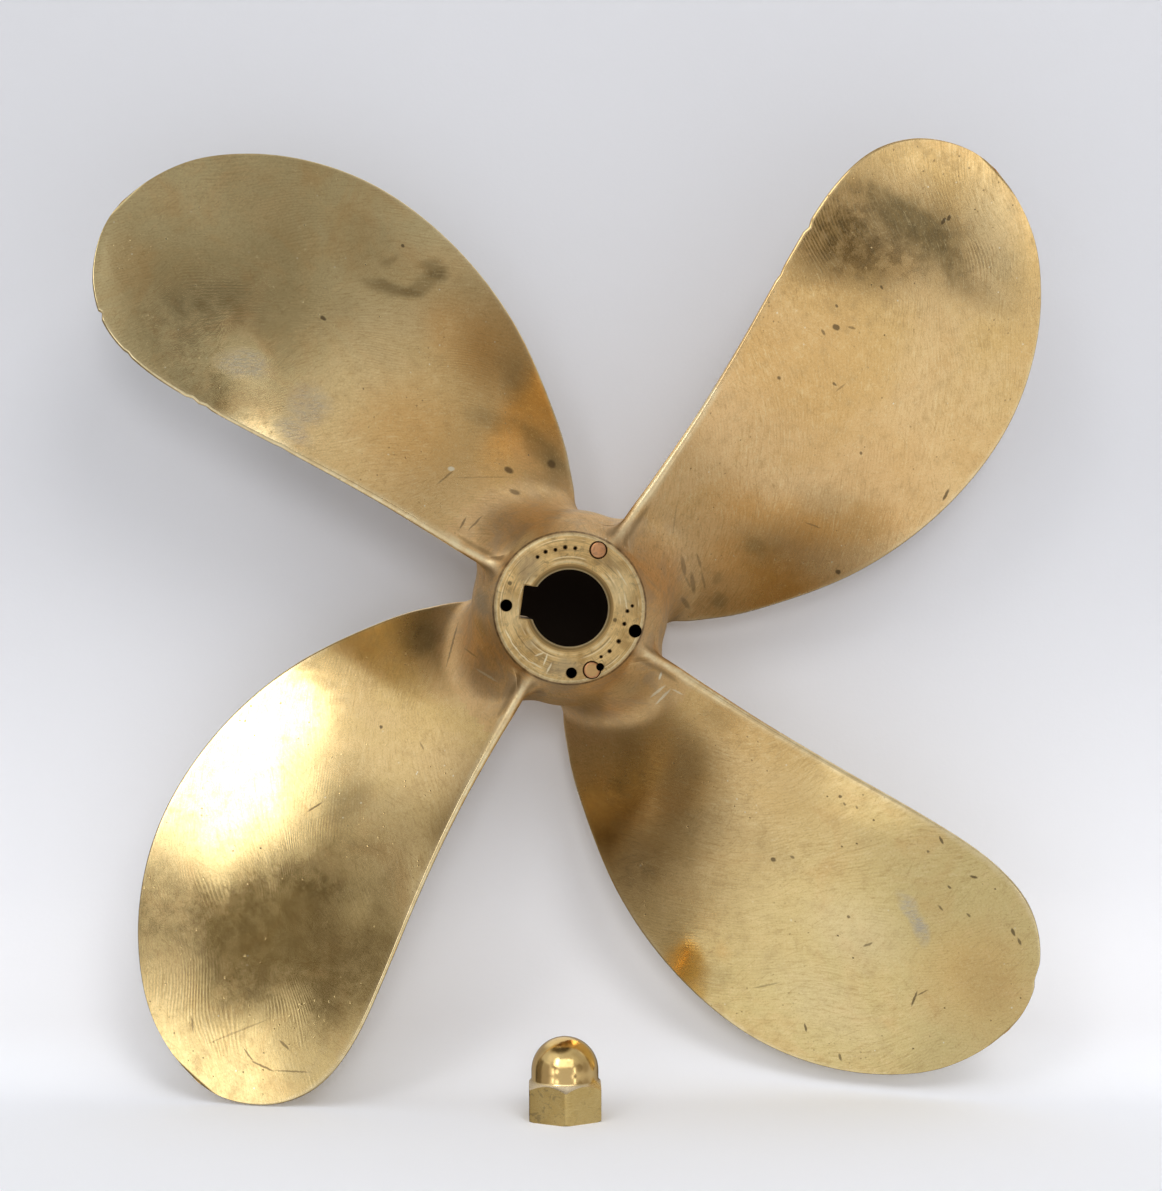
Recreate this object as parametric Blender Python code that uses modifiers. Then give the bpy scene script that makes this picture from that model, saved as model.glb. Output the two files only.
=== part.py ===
"""A four-bladed, right-handed bronze boat propeller, with its loose domed cap nut.

The hub and the blades are one casting. Two copper plugs fill drilled sockets in the aft face.
The shaft axis is Y, with aft towards -Y. The origin is on that axis, in the plane of the hub's
forward face. Lengths are in metres and angles in degrees. A blade or hole angle is measured from
+X towards +Z, as seen from aft.
"""

import math

import bmesh
import bpy
import numpy as np
from mathutils import Matrix

# Hub casting
HUB_LENGTH = 0.092
AFT_FACE_RADIUS = 0.0335
BARREL_RADIUS = 0.046
BARREL_DEPTH = 0.038
FORWARD_FACE_RADIUS = 0.0435
RIM_CHAMFER = 0.001
HUB_SIDES = 64

# Blades
PITCH = 0.430
TRAILING_EDGE_DEPTH = 0.006
ROOT_RADIUS = 0.030
ROOT_THICKNESS = 0.019
TIP_THICKNESS = 0.0026
EDGE_THICKNESS = 0.0022
ROOT_FILLET = 0.011
EDGE_FILLET = 0.0045
CHORD_POINTS = 9

# Each blade of the uneven old casting: name, angle of its trailing-edge line at BEND_FRACTION of
# the tip radius, how far it is bent round the shaft over a whole tip radius, and tip radius
BLADES = (
    ("upper_left", 150.85, -1.4, 0.279),
    ("upper_right", 57.4, 2.4, 0.282),
    ("lower_right", 329.3, -1.8, 0.281),
    ("lower_left", 242.6, 4.5, 0.278),
)
BEND_FRACTION = 0.6

# Blade outline: fraction of the tip radius, then how far the trailing edge and the leading edge
# lie round the shaft from the straight trailing edge.
OUTLINE = (
    (0.10, 3.5, 61.0),
    (0.16, 1.6, 65.0),
    (0.25, 1.1, 61.6),
    (0.35, 0.9, 56.4),
    (0.50, 0.3, 50.0),
    (0.65, -0.3, 43.1),
    (0.80, 0.0, 35.2),
    (0.88, 1.45, 29.7),
    (0.94, 4.2, 24.5),
    (0.98, 7.75, 19.7),
    (1.00, 12.5, 12.5),
)

# Where the blade is cut into sections: radii near the hub, then fractions of the tip radius
NEAR_SECTIONS = (0.036, 0.041, 0.045, 0.048, 0.052, 0.058, 0.066)
FAR_SECTIONS = (0.30, 0.40, 0.50, 0.60, 0.70, 0.78, 0.85, 0.90, 0.94, 0.968, 0.986, 0.996, 0.9997)

# Tapered bore and keyway
BORE_AFT_RADIUS = 0.01725
BORE_TAPER = 0.05
BORE_CHAMFER = 0.00275
FORWARD_CHAMFER = 0.001
KEYWAY_ANGLE = 172.0
KEYWAY_WIDTH = 0.015
KEYWAY_FLOOR_RADIUS = 0.0217

# Drilled holes in the aft face: angle, radius of the place, radius of the hole, depth
DRILLED_HOLES = (
    (177.6, 0.0286, 0.00265, 0.014),
    (-19.2, 0.0315, 0.00295, 0.014),
    (-88.3, 0.0293, 0.00240, 0.012),
)
PLUG_DRILLING = (-62.6, 0.0300, 0.00175, 0.009)

# Copper plugs: name, angle, radius of the place, radius of the plug
PLUGS = (
    ("upper_copper_plug", 63.6, 0.0293, 0.0037),
    ("lower_copper_plug", -70.1, 0.0298, 0.0038),
)
PLUG_LENGTH = 0.008
PLUG_SINK = 0.0004
SEAT_GAP = 0.0003

# Cap nut
NUT_ACROSS_FLATS = 0.032
NUT_HEIGHT = 0.0363
NUT_DOME_RADIUS = 0.015
NUT_SHOULDER = 0.0172
NUT_CORNER_TOP = 0.014
NUT_HOLE_RADIUS = 0.00975
NUT_HOLE_DEPTH = 0.025
NUT_YAW = 1.8
NUT_PLACE_X = -0.002
NUT_PLACE_Y = -0.1015

MARGIN = 0.004

# Aft-facing frame: its +Z is aft, its XY plane is the hub's forward face
AFT = Matrix.Rotation(math.radians(90), 4, "X")


def clear_scene():
    for old in list(bpy.data.objects):
        bpy.data.objects.remove(old, do_unlink=True)


def new_collection(name):
    collection = bpy.data.collections.new(name)
    bpy.context.scene.collection.children.link(collection)
    return collection


def new_material(name, colour, roughness):
    material = bpy.data.materials.new(name)
    material.use_nodes = True
    surface = material.node_tree.nodes["Principled BSDF"]
    surface.inputs["Base Color"].default_value = (*colour, 1.0)
    surface.inputs["Metallic"].default_value = 1.0
    surface.inputs["Roughness"].default_value = roughness
    return material


def place_mesh(name, mesh, collection, matrix=None):
    piece = bpy.data.objects.new(name, mesh)
    collection.objects.link(piece)
    if matrix is not None:
        piece.matrix_world = matrix
    return piece


def as_helper(piece):
    piece.hide_render = True
    piece.display_type = "WIRE"
    return piece


def combine(piece, other, operation):
    change = piece.modifiers.new(f"{operation.lower()} {other.name}", "BOOLEAN")
    change.operation = operation
    change.object = other
    change.solver = "EXACT"


def smooth_curve(x, rows, column):
    """The value at x of a smooth curve through one column of the rows, whose first column is x."""
    table = np.array(rows)
    xs = table[:, 0]
    ys = table[:, column]
    slopes = np.gradient(ys, xs)
    i = int(np.clip(np.searchsorted(xs, x) - 1, 0, len(xs) - 2))
    step = xs[i + 1] - xs[i]
    t = (x - xs[i]) / step
    start = (2 * t**3 - 3 * t**2 + 1) * ys[i] + (t**3 - 2 * t**2 + t) * step * slopes[i]
    end = (3 * t**2 - 2 * t**3) * ys[i + 1] + (t**3 - t**2) * step * slopes[i + 1]
    return start + end


def hub_radius(depth):
    """Outer radius of the hub at a depth forward of its aft face."""
    if depth < BARREL_DEPTH:
        rise = math.sin(math.pi / 2 * max(depth, 0.0) / BARREL_DEPTH)
        return AFT_FACE_RADIUS + (BARREL_RADIUS - AFT_FACE_RADIUS) * rise
    fall = min((depth - BARREL_DEPTH) / (HUB_LENGTH - BARREL_DEPTH), 1.0)
    return BARREL_RADIUS + (FORWARD_FACE_RADIUS - BARREL_RADIUS) * fall**2


def edge_angles(fraction):
    """Trailing-edge and leading-edge angles at a fraction of the tip radius."""
    # Measured by the square root of the distance from the tip, a round tip is a straight line.
    rows = [(math.sqrt(1 - row[0]), row[1], row[2]) for row in reversed(OUTLINE)]
    from_tip = math.sqrt(max(1 - fraction, 0.0))
    return smooth_curve(from_tip, rows, 1), smooth_curve(from_tip, rows, 2)


def fillet_flare(radius, depth, fillet):
    """How far the surface spreads at a radius, where the blade runs into the hub."""
    height = min(max(radius - hub_radius(depth), 0.0), fillet)
    return fillet - math.sqrt(fillet**2 - (fillet - height) ** 2)


def blade_section(radius, tip_radius, line_angle):
    """The closed outline of a blade's section at one radius: its face, then its back."""
    trailing, leading = edge_angles(radius / tip_radius)
    lead = PITCH / (2 * math.pi)
    slope = math.atan2(lead, radius)
    inward = max((radius - BARREL_RADIUS) / (tip_radius - BARREL_RADIUS), 0.0)
    thickest = TIP_THICKNESS + (ROOT_THICKNESS - TIP_THICKNESS) * (1 - inward) ** 1.1
    chord = radius * math.radians(leading - trailing) / math.cos(slope)
    nose = min(EDGE_THICKNESS, chord / 4)

    def point(along, offset):
        """A point at a distance from the trailing edge along the chord, and off the face."""
        around = along * math.cos(slope) - offset * math.sin(slope)
        depth = along * math.sin(slope) + offset * math.cos(slope)
        angle = math.radians(line_angle - trailing) - around / radius
        depth += TRAILING_EDGE_DEPTH + lead * math.radians(trailing)
        forward = depth - HUB_LENGTH
        return (radius * math.cos(angle), forward, radius * math.sin(angle))

    def depth_at(along):
        return TRAILING_EDGE_DEPTH + lead * math.radians(trailing) + along * math.sin(slope)

    rings = []
    for i in range(CHORD_POINTS):
        share = (1 - math.cos(math.pi * i / (CHORD_POINTS - 1))) / 2
        along = nose / 2 + share * (chord - nose)
        bulge = 4 * share * (1 - share)
        thickness = nose + (thickest - nose) * bulge
        fillet = EDGE_FILLET + (ROOT_FILLET - EDGE_FILLET) * bulge
        flare = fillet_flare(radius, depth_at(along), fillet)
        shift = flare * (2 * share - 1)
        rings.append((point(along + shift, -flare), point(along + shift, thickness + flare)))
    start_flare = fillet_flare(radius, depth_at(0), EDGE_FILLET)
    end_flare = fillet_flare(radius, depth_at(chord), EDGE_FILLET)
    first = point(-start_flare * 1.4, nose / 2)
    last = point(chord + end_flare * 1.4, nose / 2)
    return [first, *(face for face, _ in rings), last, *(back for _, back in reversed(rings))]


def blade_mesh(name, line_angle, bend, tip_radius):
    """One blade, lofted from its root inside the hub to its tip."""
    radii = [ROOT_RADIUS, *NEAR_SECTIONS, *(tip_radius * part for part in FAR_SECTIONS)]
    bm = bmesh.new()
    loops = []
    for radius in radii:
        bent_angle = line_angle + bend * (radius / tip_radius - BEND_FRACTION)
        ring = blade_section(radius, tip_radius, bent_angle)
        loops.append([bm.verts.new(co) for co in ring])
    around = len(loops[0])
    for inner, outer in zip(loops, loops[1:]):
        for i in range(around):
            j = (i + 1) % around
            bm.faces.new((inner[i], inner[j], outer[j], outer[i]))
    for loop in (loops[0], loops[-1]):
        middle = around // 2
        bm.faces.new((loop[0], loop[1], loop[-1]))
        for i in range(1, middle - 1):
            bm.faces.new((loop[i], loop[i + 1], loop[-i - 1], loop[-i]))
        bm.faces.new((loop[middle - 1], loop[middle], loop[middle + 1]))
    bmesh.ops.triangulate(bm, faces=bm.faces)
    bmesh.ops.recalc_face_normals(bm, faces=bm.faces)
    mesh = bpy.data.meshes.new(name)
    bm.to_mesh(mesh)
    bm.free()
    mesh.shade_smooth()
    return mesh


def turned(name, profile, sides, collection, matrix):
    """A solid turned about its own Z from a profile that runs down its outer side."""
    mesh = bpy.data.meshes.new(name)
    edges = [(i, i + 1) for i in range(len(profile) - 1)]
    mesh.from_pydata([(x, 0.0, z) for x, z in profile], edges, [])
    piece = place_mesh(name, mesh, collection, matrix)
    screw = piece.modifiers.new("turn", "SCREW")
    screw.steps = sides
    screw.render_steps = sides
    screw.use_merge_vertices = True
    screw.merge_threshold = 0.00001
    screw.use_smooth_shade = True
    return piece


def cylinder(name, radius, length, sides, collection, matrix):
    """A cylinder that rises from its own origin along its own +Z."""
    bm = bmesh.new()
    bmesh.ops.create_cone(
        bm, cap_ends=True, segments=sides, radius1=radius, radius2=radius, depth=length
    )
    bmesh.ops.translate(bm, verts=bm.verts, vec=(0, 0, length / 2))
    mesh = bpy.data.meshes.new(name)
    bm.to_mesh(mesh)
    bm.free()
    mesh.shade_smooth()
    mesh.set_sharp_from_angle(angle=math.radians(40))
    return place_mesh(name, mesh, collection, matrix)


def on_aft_face(angle, radius, depth):
    """A frame on the aft face at an angle and radius, sunk by a depth, with +Z aft and +X outward."""
    turn = Matrix.Rotation(math.radians(angle), 4, "Z")
    return AFT @ turn @ Matrix.Translation((radius, 0, HUB_LENGTH - depth))


def hub_profile():
    steps = 14
    depths = [RIM_CHAMFER + (HUB_LENGTH - 2 * RIM_CHAMFER) * i / steps for i in range(steps + 1)]
    side = [(hub_radius(depth), HUB_LENGTH - depth) for depth in depths]
    aft = [(0.0, HUB_LENGTH), (AFT_FACE_RADIUS - RIM_CHAMFER, HUB_LENGTH)]
    forward = [(FORWARD_FACE_RADIUS - RIM_CHAMFER, 0.0), (0.0, 0.0)]
    return aft + side + forward


def bore_profile():
    def radius(depth):
        return BORE_AFT_RADIUS + BORE_TAPER * depth

    aft_end = HUB_LENGTH + MARGIN
    mouth = BORE_AFT_RADIUS + BORE_CHAMFER
    forward_mouth = radius(HUB_LENGTH) + FORWARD_CHAMFER
    return [
        (0.0, aft_end),
        (mouth + MARGIN, aft_end),
        (mouth, HUB_LENGTH),
        (radius(BORE_CHAMFER), HUB_LENGTH - BORE_CHAMFER),
        (radius(HUB_LENGTH - FORWARD_CHAMFER), FORWARD_CHAMFER),
        (forward_mouth, 0.0),
        (forward_mouth + MARGIN, -MARGIN),
        (0.0, -MARGIN),
    ]


def keyway_cutter(collection):
    """A long block whose outer face lies along the bore's taper."""
    block_height = KEYWAY_FLOOR_RADIUS
    block_length = HUB_LENGTH + 0.03
    bm = bmesh.new()
    bmesh.ops.create_cube(bm, size=1.0)
    bmesh.ops.scale(bm, verts=bm.verts, vec=(block_height, KEYWAY_WIDTH, block_length))
    bmesh.ops.translate(bm, verts=bm.verts, vec=(-block_height / 2, 0, 0))
    mesh = bpy.data.meshes.new("keyway")
    bm.to_mesh(mesh)
    bm.free()
    middle = KEYWAY_FLOOR_RADIUS + BORE_TAPER * HUB_LENGTH / 2
    turn = Matrix.Rotation(math.radians(KEYWAY_ANGLE), 4, "Z")
    tilt = Matrix.Rotation(-math.atan(BORE_TAPER), 4, "Y")
    seat = Matrix.Translation((middle, 0, HUB_LENGTH / 2))
    return as_helper(place_mesh("keyway", mesh, collection, AFT @ turn @ seat @ tilt))


def propeller_casting(parts, cutters, material):
    casting = turned("propeller_casting", hub_profile(), HUB_SIDES, parts, AFT)
    casting.data.materials.append(material)
    for name, angle, bend, tip_radius in BLADES:
        blade = place_mesh(f"{name}_blade", blade_mesh(name, angle, bend, tip_radius), cutters)
        combine(casting, as_helper(blade), "UNION")
    bore = turned("bore", bore_profile(), HUB_SIDES, cutters, AFT)
    combine(casting, as_helper(bore), "DIFFERENCE")
    combine(casting, keyway_cutter(cutters), "DIFFERENCE")
    for i, (angle, place, radius, depth) in enumerate(DRILLED_HOLES):
        frame = on_aft_face(angle, place, depth)
        hole = cylinder(f"drilled_hole_{i + 1}", radius, depth + MARGIN, 20, cutters, frame)
        combine(casting, as_helper(hole), "DIFFERENCE")
    for name, angle, place, radius in PLUGS:
        depth = PLUG_SINK + PLUG_LENGTH + SEAT_GAP
        frame = on_aft_face(angle, place, depth)
        socket = cylinder(f"{name}_socket", radius + SEAT_GAP, depth + MARGIN, 28, cutters, frame)
        combine(casting, as_helper(socket), "DIFFERENCE")
    return casting


def copper_plugs(parts, material):
    for name, angle, place, radius in PLUGS:
        frame = on_aft_face(angle, place, PLUG_SINK + PLUG_LENGTH)
        plug = cylinder(name, radius, PLUG_LENGTH, 28, parts, frame)
        plug.data.materials.append(material)


def drill_through_plug(casting, cutters):
    """The small hole that breaks into the edge of the lower plug."""
    angle, place, radius, depth = PLUG_DRILLING
    frame = on_aft_face(angle, place, depth)
    hole = as_helper(cylinder("plug_drilling", radius, depth + MARGIN, 16, cutters, frame))
    combine(casting, hole, "DIFFERENCE")
    combine(bpy.data.objects["lower_copper_plug"], hole, "DIFFERENCE")


def nut_profile():
    """The turned envelope of the nut: dome, neck, chamfered shoulder and base."""
    centre = NUT_HEIGHT - NUT_DOME_RADIUS
    steps = 9
    arc = [
        (
            NUT_DOME_RADIUS * math.sin(math.pi / 2 * i / steps),
            centre + NUT_DOME_RADIUS * math.cos(math.pi / 2 * i / steps),
        )
        for i in range(steps + 1)
    ]
    arc[0] = (0.0, NUT_HEIGHT)
    corner = NUT_ACROSS_FLATS / 2 / math.cos(math.pi / 6)
    fall = (NUT_SHOULDER - NUT_CORNER_TOP) / (corner - NUT_DOME_RADIUS)
    past = 0.001
    outer = corner + past
    return [
        *arc,
        (NUT_DOME_RADIUS, NUT_SHOULDER),
        (outer, NUT_CORNER_TOP - past * fall),
        (outer, past / 2 + past),
        (corner - past, 0.0),
        (0.0, 0.0),
    ]


def nut_hole_profile():
    mouth = NUT_HOLE_RADIUS + 0.0012
    return [
        (0.0, NUT_HOLE_DEPTH + 0.004),
        (NUT_HOLE_RADIUS, NUT_HOLE_DEPTH),
        (NUT_HOLE_RADIUS, 0.0012),
        (mouth, 0.0),
        (mouth + MARGIN, -MARGIN),
        (0.0, -MARGIN),
    ]


def cap_nut(parts, cutters, floor, material):
    """The nut stands on its base, a corner towards the viewer, level with the lowest blade tip."""
    across_corners = NUT_ACROSS_FLATS / math.cos(math.pi / 6)
    turn = Matrix.Rotation(math.radians(NUT_YAW - 90), 4, "Z")
    frame = Matrix.Translation((NUT_PLACE_X, NUT_PLACE_Y, floor)) @ turn
    nut = cylinder("cap_nut", across_corners / 2, NUT_HEIGHT + MARGIN, 6, parts, frame)
    turn_corner_to_x(nut.data)
    nut.data.materials.append(material)
    envelope = turned("nut_envelope", nut_profile(), 48, cutters, frame)
    combine(nut, as_helper(envelope), "INTERSECT")
    hole = turned("nut_hole", nut_hole_profile(), 40, cutters, frame)
    combine(nut, as_helper(hole), "DIFFERENCE")
    return nut


def turn_corner_to_x(mesh):
    """Turns a six-sided cylinder so that one of its corners lies on +X."""
    first = max(mesh.vertices, key=lambda vertex: vertex.co.x)
    angle = math.atan2(first.co.y, first.co.x)
    mesh.transform(Matrix.Rotation(-angle, 4, "Z"))


def lowest_blade_point():
    return min(
        vertex.co.z
        for name, *_ in BLADES
        for vertex in bpy.data.objects[f"{name}_blade"].data.vertices
    )


def main():
    clear_scene()
    parts = new_collection("ship_propeller")
    cutters = new_collection("cutters")
    cutters.hide_render = True
    bronze = new_material("cast bronze", (0.55, 0.39, 0.17), 0.3)
    copper = new_material("copper", (0.75, 0.40, 0.28), 0.35)
    nut_brass = new_material("polished brass", (0.66, 0.50, 0.22), 0.2)
    casting = propeller_casting(parts, cutters, bronze)
    copper_plugs(parts, copper)
    drill_through_plug(casting, cutters)
    cap_nut(parts, cutters, lowest_blade_point(), nut_brass)


main()
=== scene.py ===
"""Looks of the boat propeller and its cap nut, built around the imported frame.

The fine casting repeats the driving dimensions of the solid. The shaft axis is Y, with aft towards
-Y, and the origin lies in the plane of the hub's forward face. Lengths are in metres, angles in
degrees.
"""

import math

import bmesh
import bpy
import numpy as np
from mathutils import Matrix, Vector


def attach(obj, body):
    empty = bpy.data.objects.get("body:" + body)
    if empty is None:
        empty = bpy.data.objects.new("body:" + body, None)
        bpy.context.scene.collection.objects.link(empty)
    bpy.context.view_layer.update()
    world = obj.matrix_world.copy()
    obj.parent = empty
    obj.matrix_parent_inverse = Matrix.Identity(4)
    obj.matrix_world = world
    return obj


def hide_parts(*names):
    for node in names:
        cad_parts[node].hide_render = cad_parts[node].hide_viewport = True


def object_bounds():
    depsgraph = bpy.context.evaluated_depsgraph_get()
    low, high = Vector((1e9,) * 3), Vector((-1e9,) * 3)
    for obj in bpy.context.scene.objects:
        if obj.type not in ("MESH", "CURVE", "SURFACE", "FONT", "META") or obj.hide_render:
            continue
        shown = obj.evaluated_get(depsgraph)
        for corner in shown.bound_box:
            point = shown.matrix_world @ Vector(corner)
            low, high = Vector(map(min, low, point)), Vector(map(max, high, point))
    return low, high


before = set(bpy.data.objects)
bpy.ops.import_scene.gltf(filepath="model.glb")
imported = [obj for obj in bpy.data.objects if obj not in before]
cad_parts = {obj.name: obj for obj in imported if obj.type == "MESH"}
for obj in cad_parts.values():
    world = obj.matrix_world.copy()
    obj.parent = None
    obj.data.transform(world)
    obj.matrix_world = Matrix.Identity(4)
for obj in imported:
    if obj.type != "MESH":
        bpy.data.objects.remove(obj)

CAD_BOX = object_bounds()

# Driving dimensions, as in the solid
HUB_LENGTH = 0.092
AFT_FACE_RADIUS = 0.0335
BARREL_RADIUS = 0.046
BARREL_DEPTH = 0.038
FORWARD_FACE_RADIUS = 0.0435
RIM_CHAMFER = 0.001
PITCH = 0.430
LEAD = PITCH / (2 * math.pi)
TRAILING_EDGE_DEPTH = 0.006
ROOT_THICKNESS = 0.019
TIP_THICKNESS = 0.0026
EDGE_THICKNESS = 0.0022
ROOT_EDGE_THICKNESS = 0.0052
FACE_FILLET = 0.021
BACK_FILLET = 0.013
EDGE_FILLET = 0.0085
TIP_TRIM = 0.0005
FORWARD_CLEARANCE = 0.0004
BLADES = (
    ("upper_left", 150.85, -1.4, 0.279),
    ("upper_right", 57.4, 2.4, 0.282),
    ("lower_right", 329.3, -1.8, 0.281),
    ("lower_left", 242.6, 4.5, 0.278),
)
BEND_FRACTION = 0.6
OUTLINE = (
    (0.10, 3.5, 61.0),
    (0.16, 1.6, 65.0),
    (0.25, 1.1, 61.6),
    (0.35, 0.9, 56.4),
    (0.50, 0.3, 50.0),
    (0.65, -0.3, 43.1),
    (0.80, 0.0, 35.2),
    (0.88, 1.45, 29.7),
    (0.94, 4.2, 24.5),
    (0.98, 7.75, 19.7),
    (1.00, 12.5, 12.5),
)
BORE_AFT_RADIUS = 0.01725
BORE_TAPER = 0.05
BORE_CHAMFER = 0.00275
FORWARD_CHAMFER = 0.001
KEYWAY_ANGLE = 172.0
KEYWAY_WIDTH = 0.015
KEYWAY_FLOOR_RADIUS = 0.0217
DRILLED_HOLES = (
    (177.6, 0.0286, 0.00265, 0.014),
    (-19.2, 0.0315, 0.00295, 0.014),
    (-88.3, 0.0293, 0.00240, 0.012),
)
PLUG_DRILLING = (-62.6, 0.0300, 0.00175, 0.009)
PLUGS = (
    ("upper_copper_plug", 63.6, 0.0293, 0.0037),
    ("lower_copper_plug", -70.1, 0.0298, 0.0038),
)
PLUG_LENGTH = 0.008
PLUG_SINK = 0.0004
SEAT_GAP = 0.0003
NUT_ACROSS_FLATS = 0.032
NUT_HEIGHT = 0.0363
NUT_DOME_RADIUS = 0.015
NUT_SHOULDER = 0.0172
NUT_CORNER_TOP = 0.014
NUT_HOLE_RADIUS = 0.00975
NUT_HOLE_DEPTH = 0.025
NUT_YAW = 1.8
NUT_PLACE_X = -0.002
NUT_PLACE_Y = -0.1015
MARGIN = 0.004
FLOOR = CAD_BOX[0][2]

AFT = Matrix.Rotation(math.radians(90), 4, "X")

# Fineness of the casting's mesh
FACE_COLUMNS = 60
NOSE_COLUMNS = 7
OUTER_ROWS = 76
BLEND_ROWS = 8
FILLET_ROWS = 14
BLEND_RADIUS = 0.078
HUB_SIDES = 192
HUB_ROWS = 46

# Dents and swellings left by casting and hand grinding, on the aft face of a blade:
# blade number, angle forward of the trailing-edge line, radius, reach and height
SWELLINGS = (
    (0, 30.0, 0.170, 0.020, -0.00035),
    (0, 26.0, 0.178, 0.010, 0.00022),
    (0, 16.0, 0.215, 0.040, -0.00050),
    (2, 28.0, 0.095, 0.018, 0.00030),
    (2, 40.0, 0.170, 0.012, 0.00030),
    (2, 14.0, 0.200, 0.045, -0.00040),
    (3, 30.0, 0.175, 0.035, -0.00045),
    (3, 10.0, 0.150, 0.030, 0.00035),
)

# Nicks in the blade edges: blade number, fraction of the tip radius, half width as a fraction,
# depth in degrees round the shaft, and True on the trailing edge
NICKS = (
    (0, 0.905, 0.004, 0.35, True),
    (0, 0.835, 0.004, 0.40, True),
    (0, 0.765, 0.003, 0.35, True),
    (0, 0.705, 0.003, 0.45, True),
    (0, 0.680, 0.003, 0.40, True),
    (0, 0.540, 0.003, 0.35, True),
    (1, 0.725, 0.004, 0.45, True),
    (1, 0.640, 0.004, 0.40, True),
    (2, 0.972, 0.010, 0.45, True),
    (3, 0.800, 0.004, 0.40, False),
)


# How olive and how brown each blade's skin is: share at the tip, radius where it starts, and
# share of brown near the root
TARNISH = (
    (0.95, 0.09, 0.9),
    (0.35, 0.12, 0.8),
    (0.90, 0.09, 0.7),
    (0.80, 0.05, 0.4),
)

# Marks on the aft side: x and z of the middle, half length and half width in
# millimetres, turn in degrees from +X towards +Z, and strength
# Dark marks: stains, and painted shade at the roots of the blades
DARK_STAINS_AND_SHADE = (
    (-85, 150, 11.5, 3.5, -7, 0.78),
    (-68, 153.5, 11, 3.5, 32, 0.62),
    (-64, 160.5, 6, 4, -20, 0.70),
    (-85.5, 163, 4, 2.2, 35, 0.45),
    (-34, 88, 13, 5, -11, 0.45),
    (-14, 58, 9, 7, 0, 0.25),
    (-102, -90, 12, 9, 40, 0.30),
    (-72, -15, 7, 9, 10, 0.20),
    (-15, 77, 13, 5, -43, 0.50),
    (-49, 153, 7, 6, -18, 0.14),
    (162, 184, 11, 11, 0, 0.24),
    (146, 184, 13, 7, -22, 0.55),
    (162, 168, 13, 9, -50, 0.50),
    (143, 172, 10, 7, -20, 0.35),
    (173.5, 168.5, 12.5, 8, -67, 0.34),
    (190, 145, 17, 6, -26, 0.22),
    (116, 156, 17, 5.5, 18, 0.22),
    (129, 47, 20, 8, -17, 0.24),
    (90, 30, 11, 10, -46, 0.22),
    (141, 32, 15, 9, 7, 0.18),
    (87, 29, 5, 4, -32, 0.36),
    (71, 14, 3, 2.5, -43, 0.4),
    (71, 3, 3.6, 3.4, -38, 0.6),
    (-3, -27, 7, 3.5, 0, 0.65),
    (-19, 18, 6, 4.5, 45, 0.65),
    (18, 20, 5, 4, -45, 0.35),
    (-71, -15.5, 9, 8, 24, 0.46),
    (-127, -27.5, 7.5, 2.5, -7, 0.5),
    (-120, -35, 9, 2.2, -14, 0.4),
    (-113, -44, 7.5, 1.8, 4, 0.26),
    (-102, -74, 8, 7, 27, 0.22),
    (-104, -91, 12, 5.5, 33, 0.2),
    (11, -48, 7, 6.5, 11, 0.32),
    (69, -50, 7, 6.5, -45, 0.24),
    (23, -85, 4, 4, 0, 0.42),
    (30, -76, 8, 18, 6, 0.34),
    (9, -44, 8, 6, 10, 0.45),
    (-17, 94, 24, 9, -63, 0.55),
    (-5, 66, 8, 7, -60, 0.45),
    (154, 179, 12, 9, -10, 0.35),
    (168, 172, 9, 9, -50, 0.35),
    (179, 157, 10, 6, -65, 0.30),
    (86, -108, 8, 6.5, -31, 0.15),
    (99, -116.5, 6.5, 5, -13, 0.15),
    (190, -173, 13, 10, -50, 0.13),
    (67, -174.5, 7.5, 7, -15, 0.28),
    (-17, -16.5, 2.6, 1.6, 60, 0.5),
    (-40.5, 3.5, 2.6, 5, 10, 0.45),
    (-40, -9, 2.2, 4, 10, 0.4),
)
GREY_STAINS = (
    (157, -139, 9, 3.2, -57, 0.75),
    (161, -148, 6, 3.4, -70, 0.75),
    (-150, 112, 11, 6, -12, 0.75),
    (-120, 92, 9, 9, -30, 0.62),
    (-126, 80, 9, 4.5, -30, 0.6),
    (-40, 2, 2.6, 6, 5, 0.6),
)
# Orange stains; the small mark at 72, -162 is a painted reflection of the cap nut
ORANGE_STAINS_AND_REFLECTION = (
    (-36, 123, 13, 22, -15, 0.25),
    (-203, 160, 10, 12, 0, 0.18),
    (72, -162, 4, 4, 0, 0.25),
    (44, -92, 18, 8, 24, 0.35),
    (98, 42, 20, 9, -4, 0.6),
    (132, 37, 24, 9, 12, 0.65),
    (75, 50, 12, 9, 10, 0.4),
    (-72, 82, 22, 20, -30, 0.4),
    (-52, 128, 20, 14, -60, 0.35),
    (188, -170, 24, 20, -50, 0.36),
    (150, 66, 26, 14, 20, 0.15),
    (74, 24, 9, 9, 0, 0.3),
    (-60, -22, 14, 9, 20, 0.2),
)
# Pale marks: partly pale wear, partly painted light
PALE_STAINS_AND_LIGHT = (
    (196, 172, 12, 26, 10, 0.35),
    (132, -150, 22, 14, -30, 0.4),
    (120, -185, 26, 12, -35, 0.3),
    (-134, 73, 10, 2.6, -32, 0.8),
    (23, 8, 5, 8, 15, 0.5),
    (-22, 29, 7, 4, 38, 0.8),
    (24, -39, 8, 5, 30, 0.5),
    (-26, -2, 4, 7, 10, 0.4),
)

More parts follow.
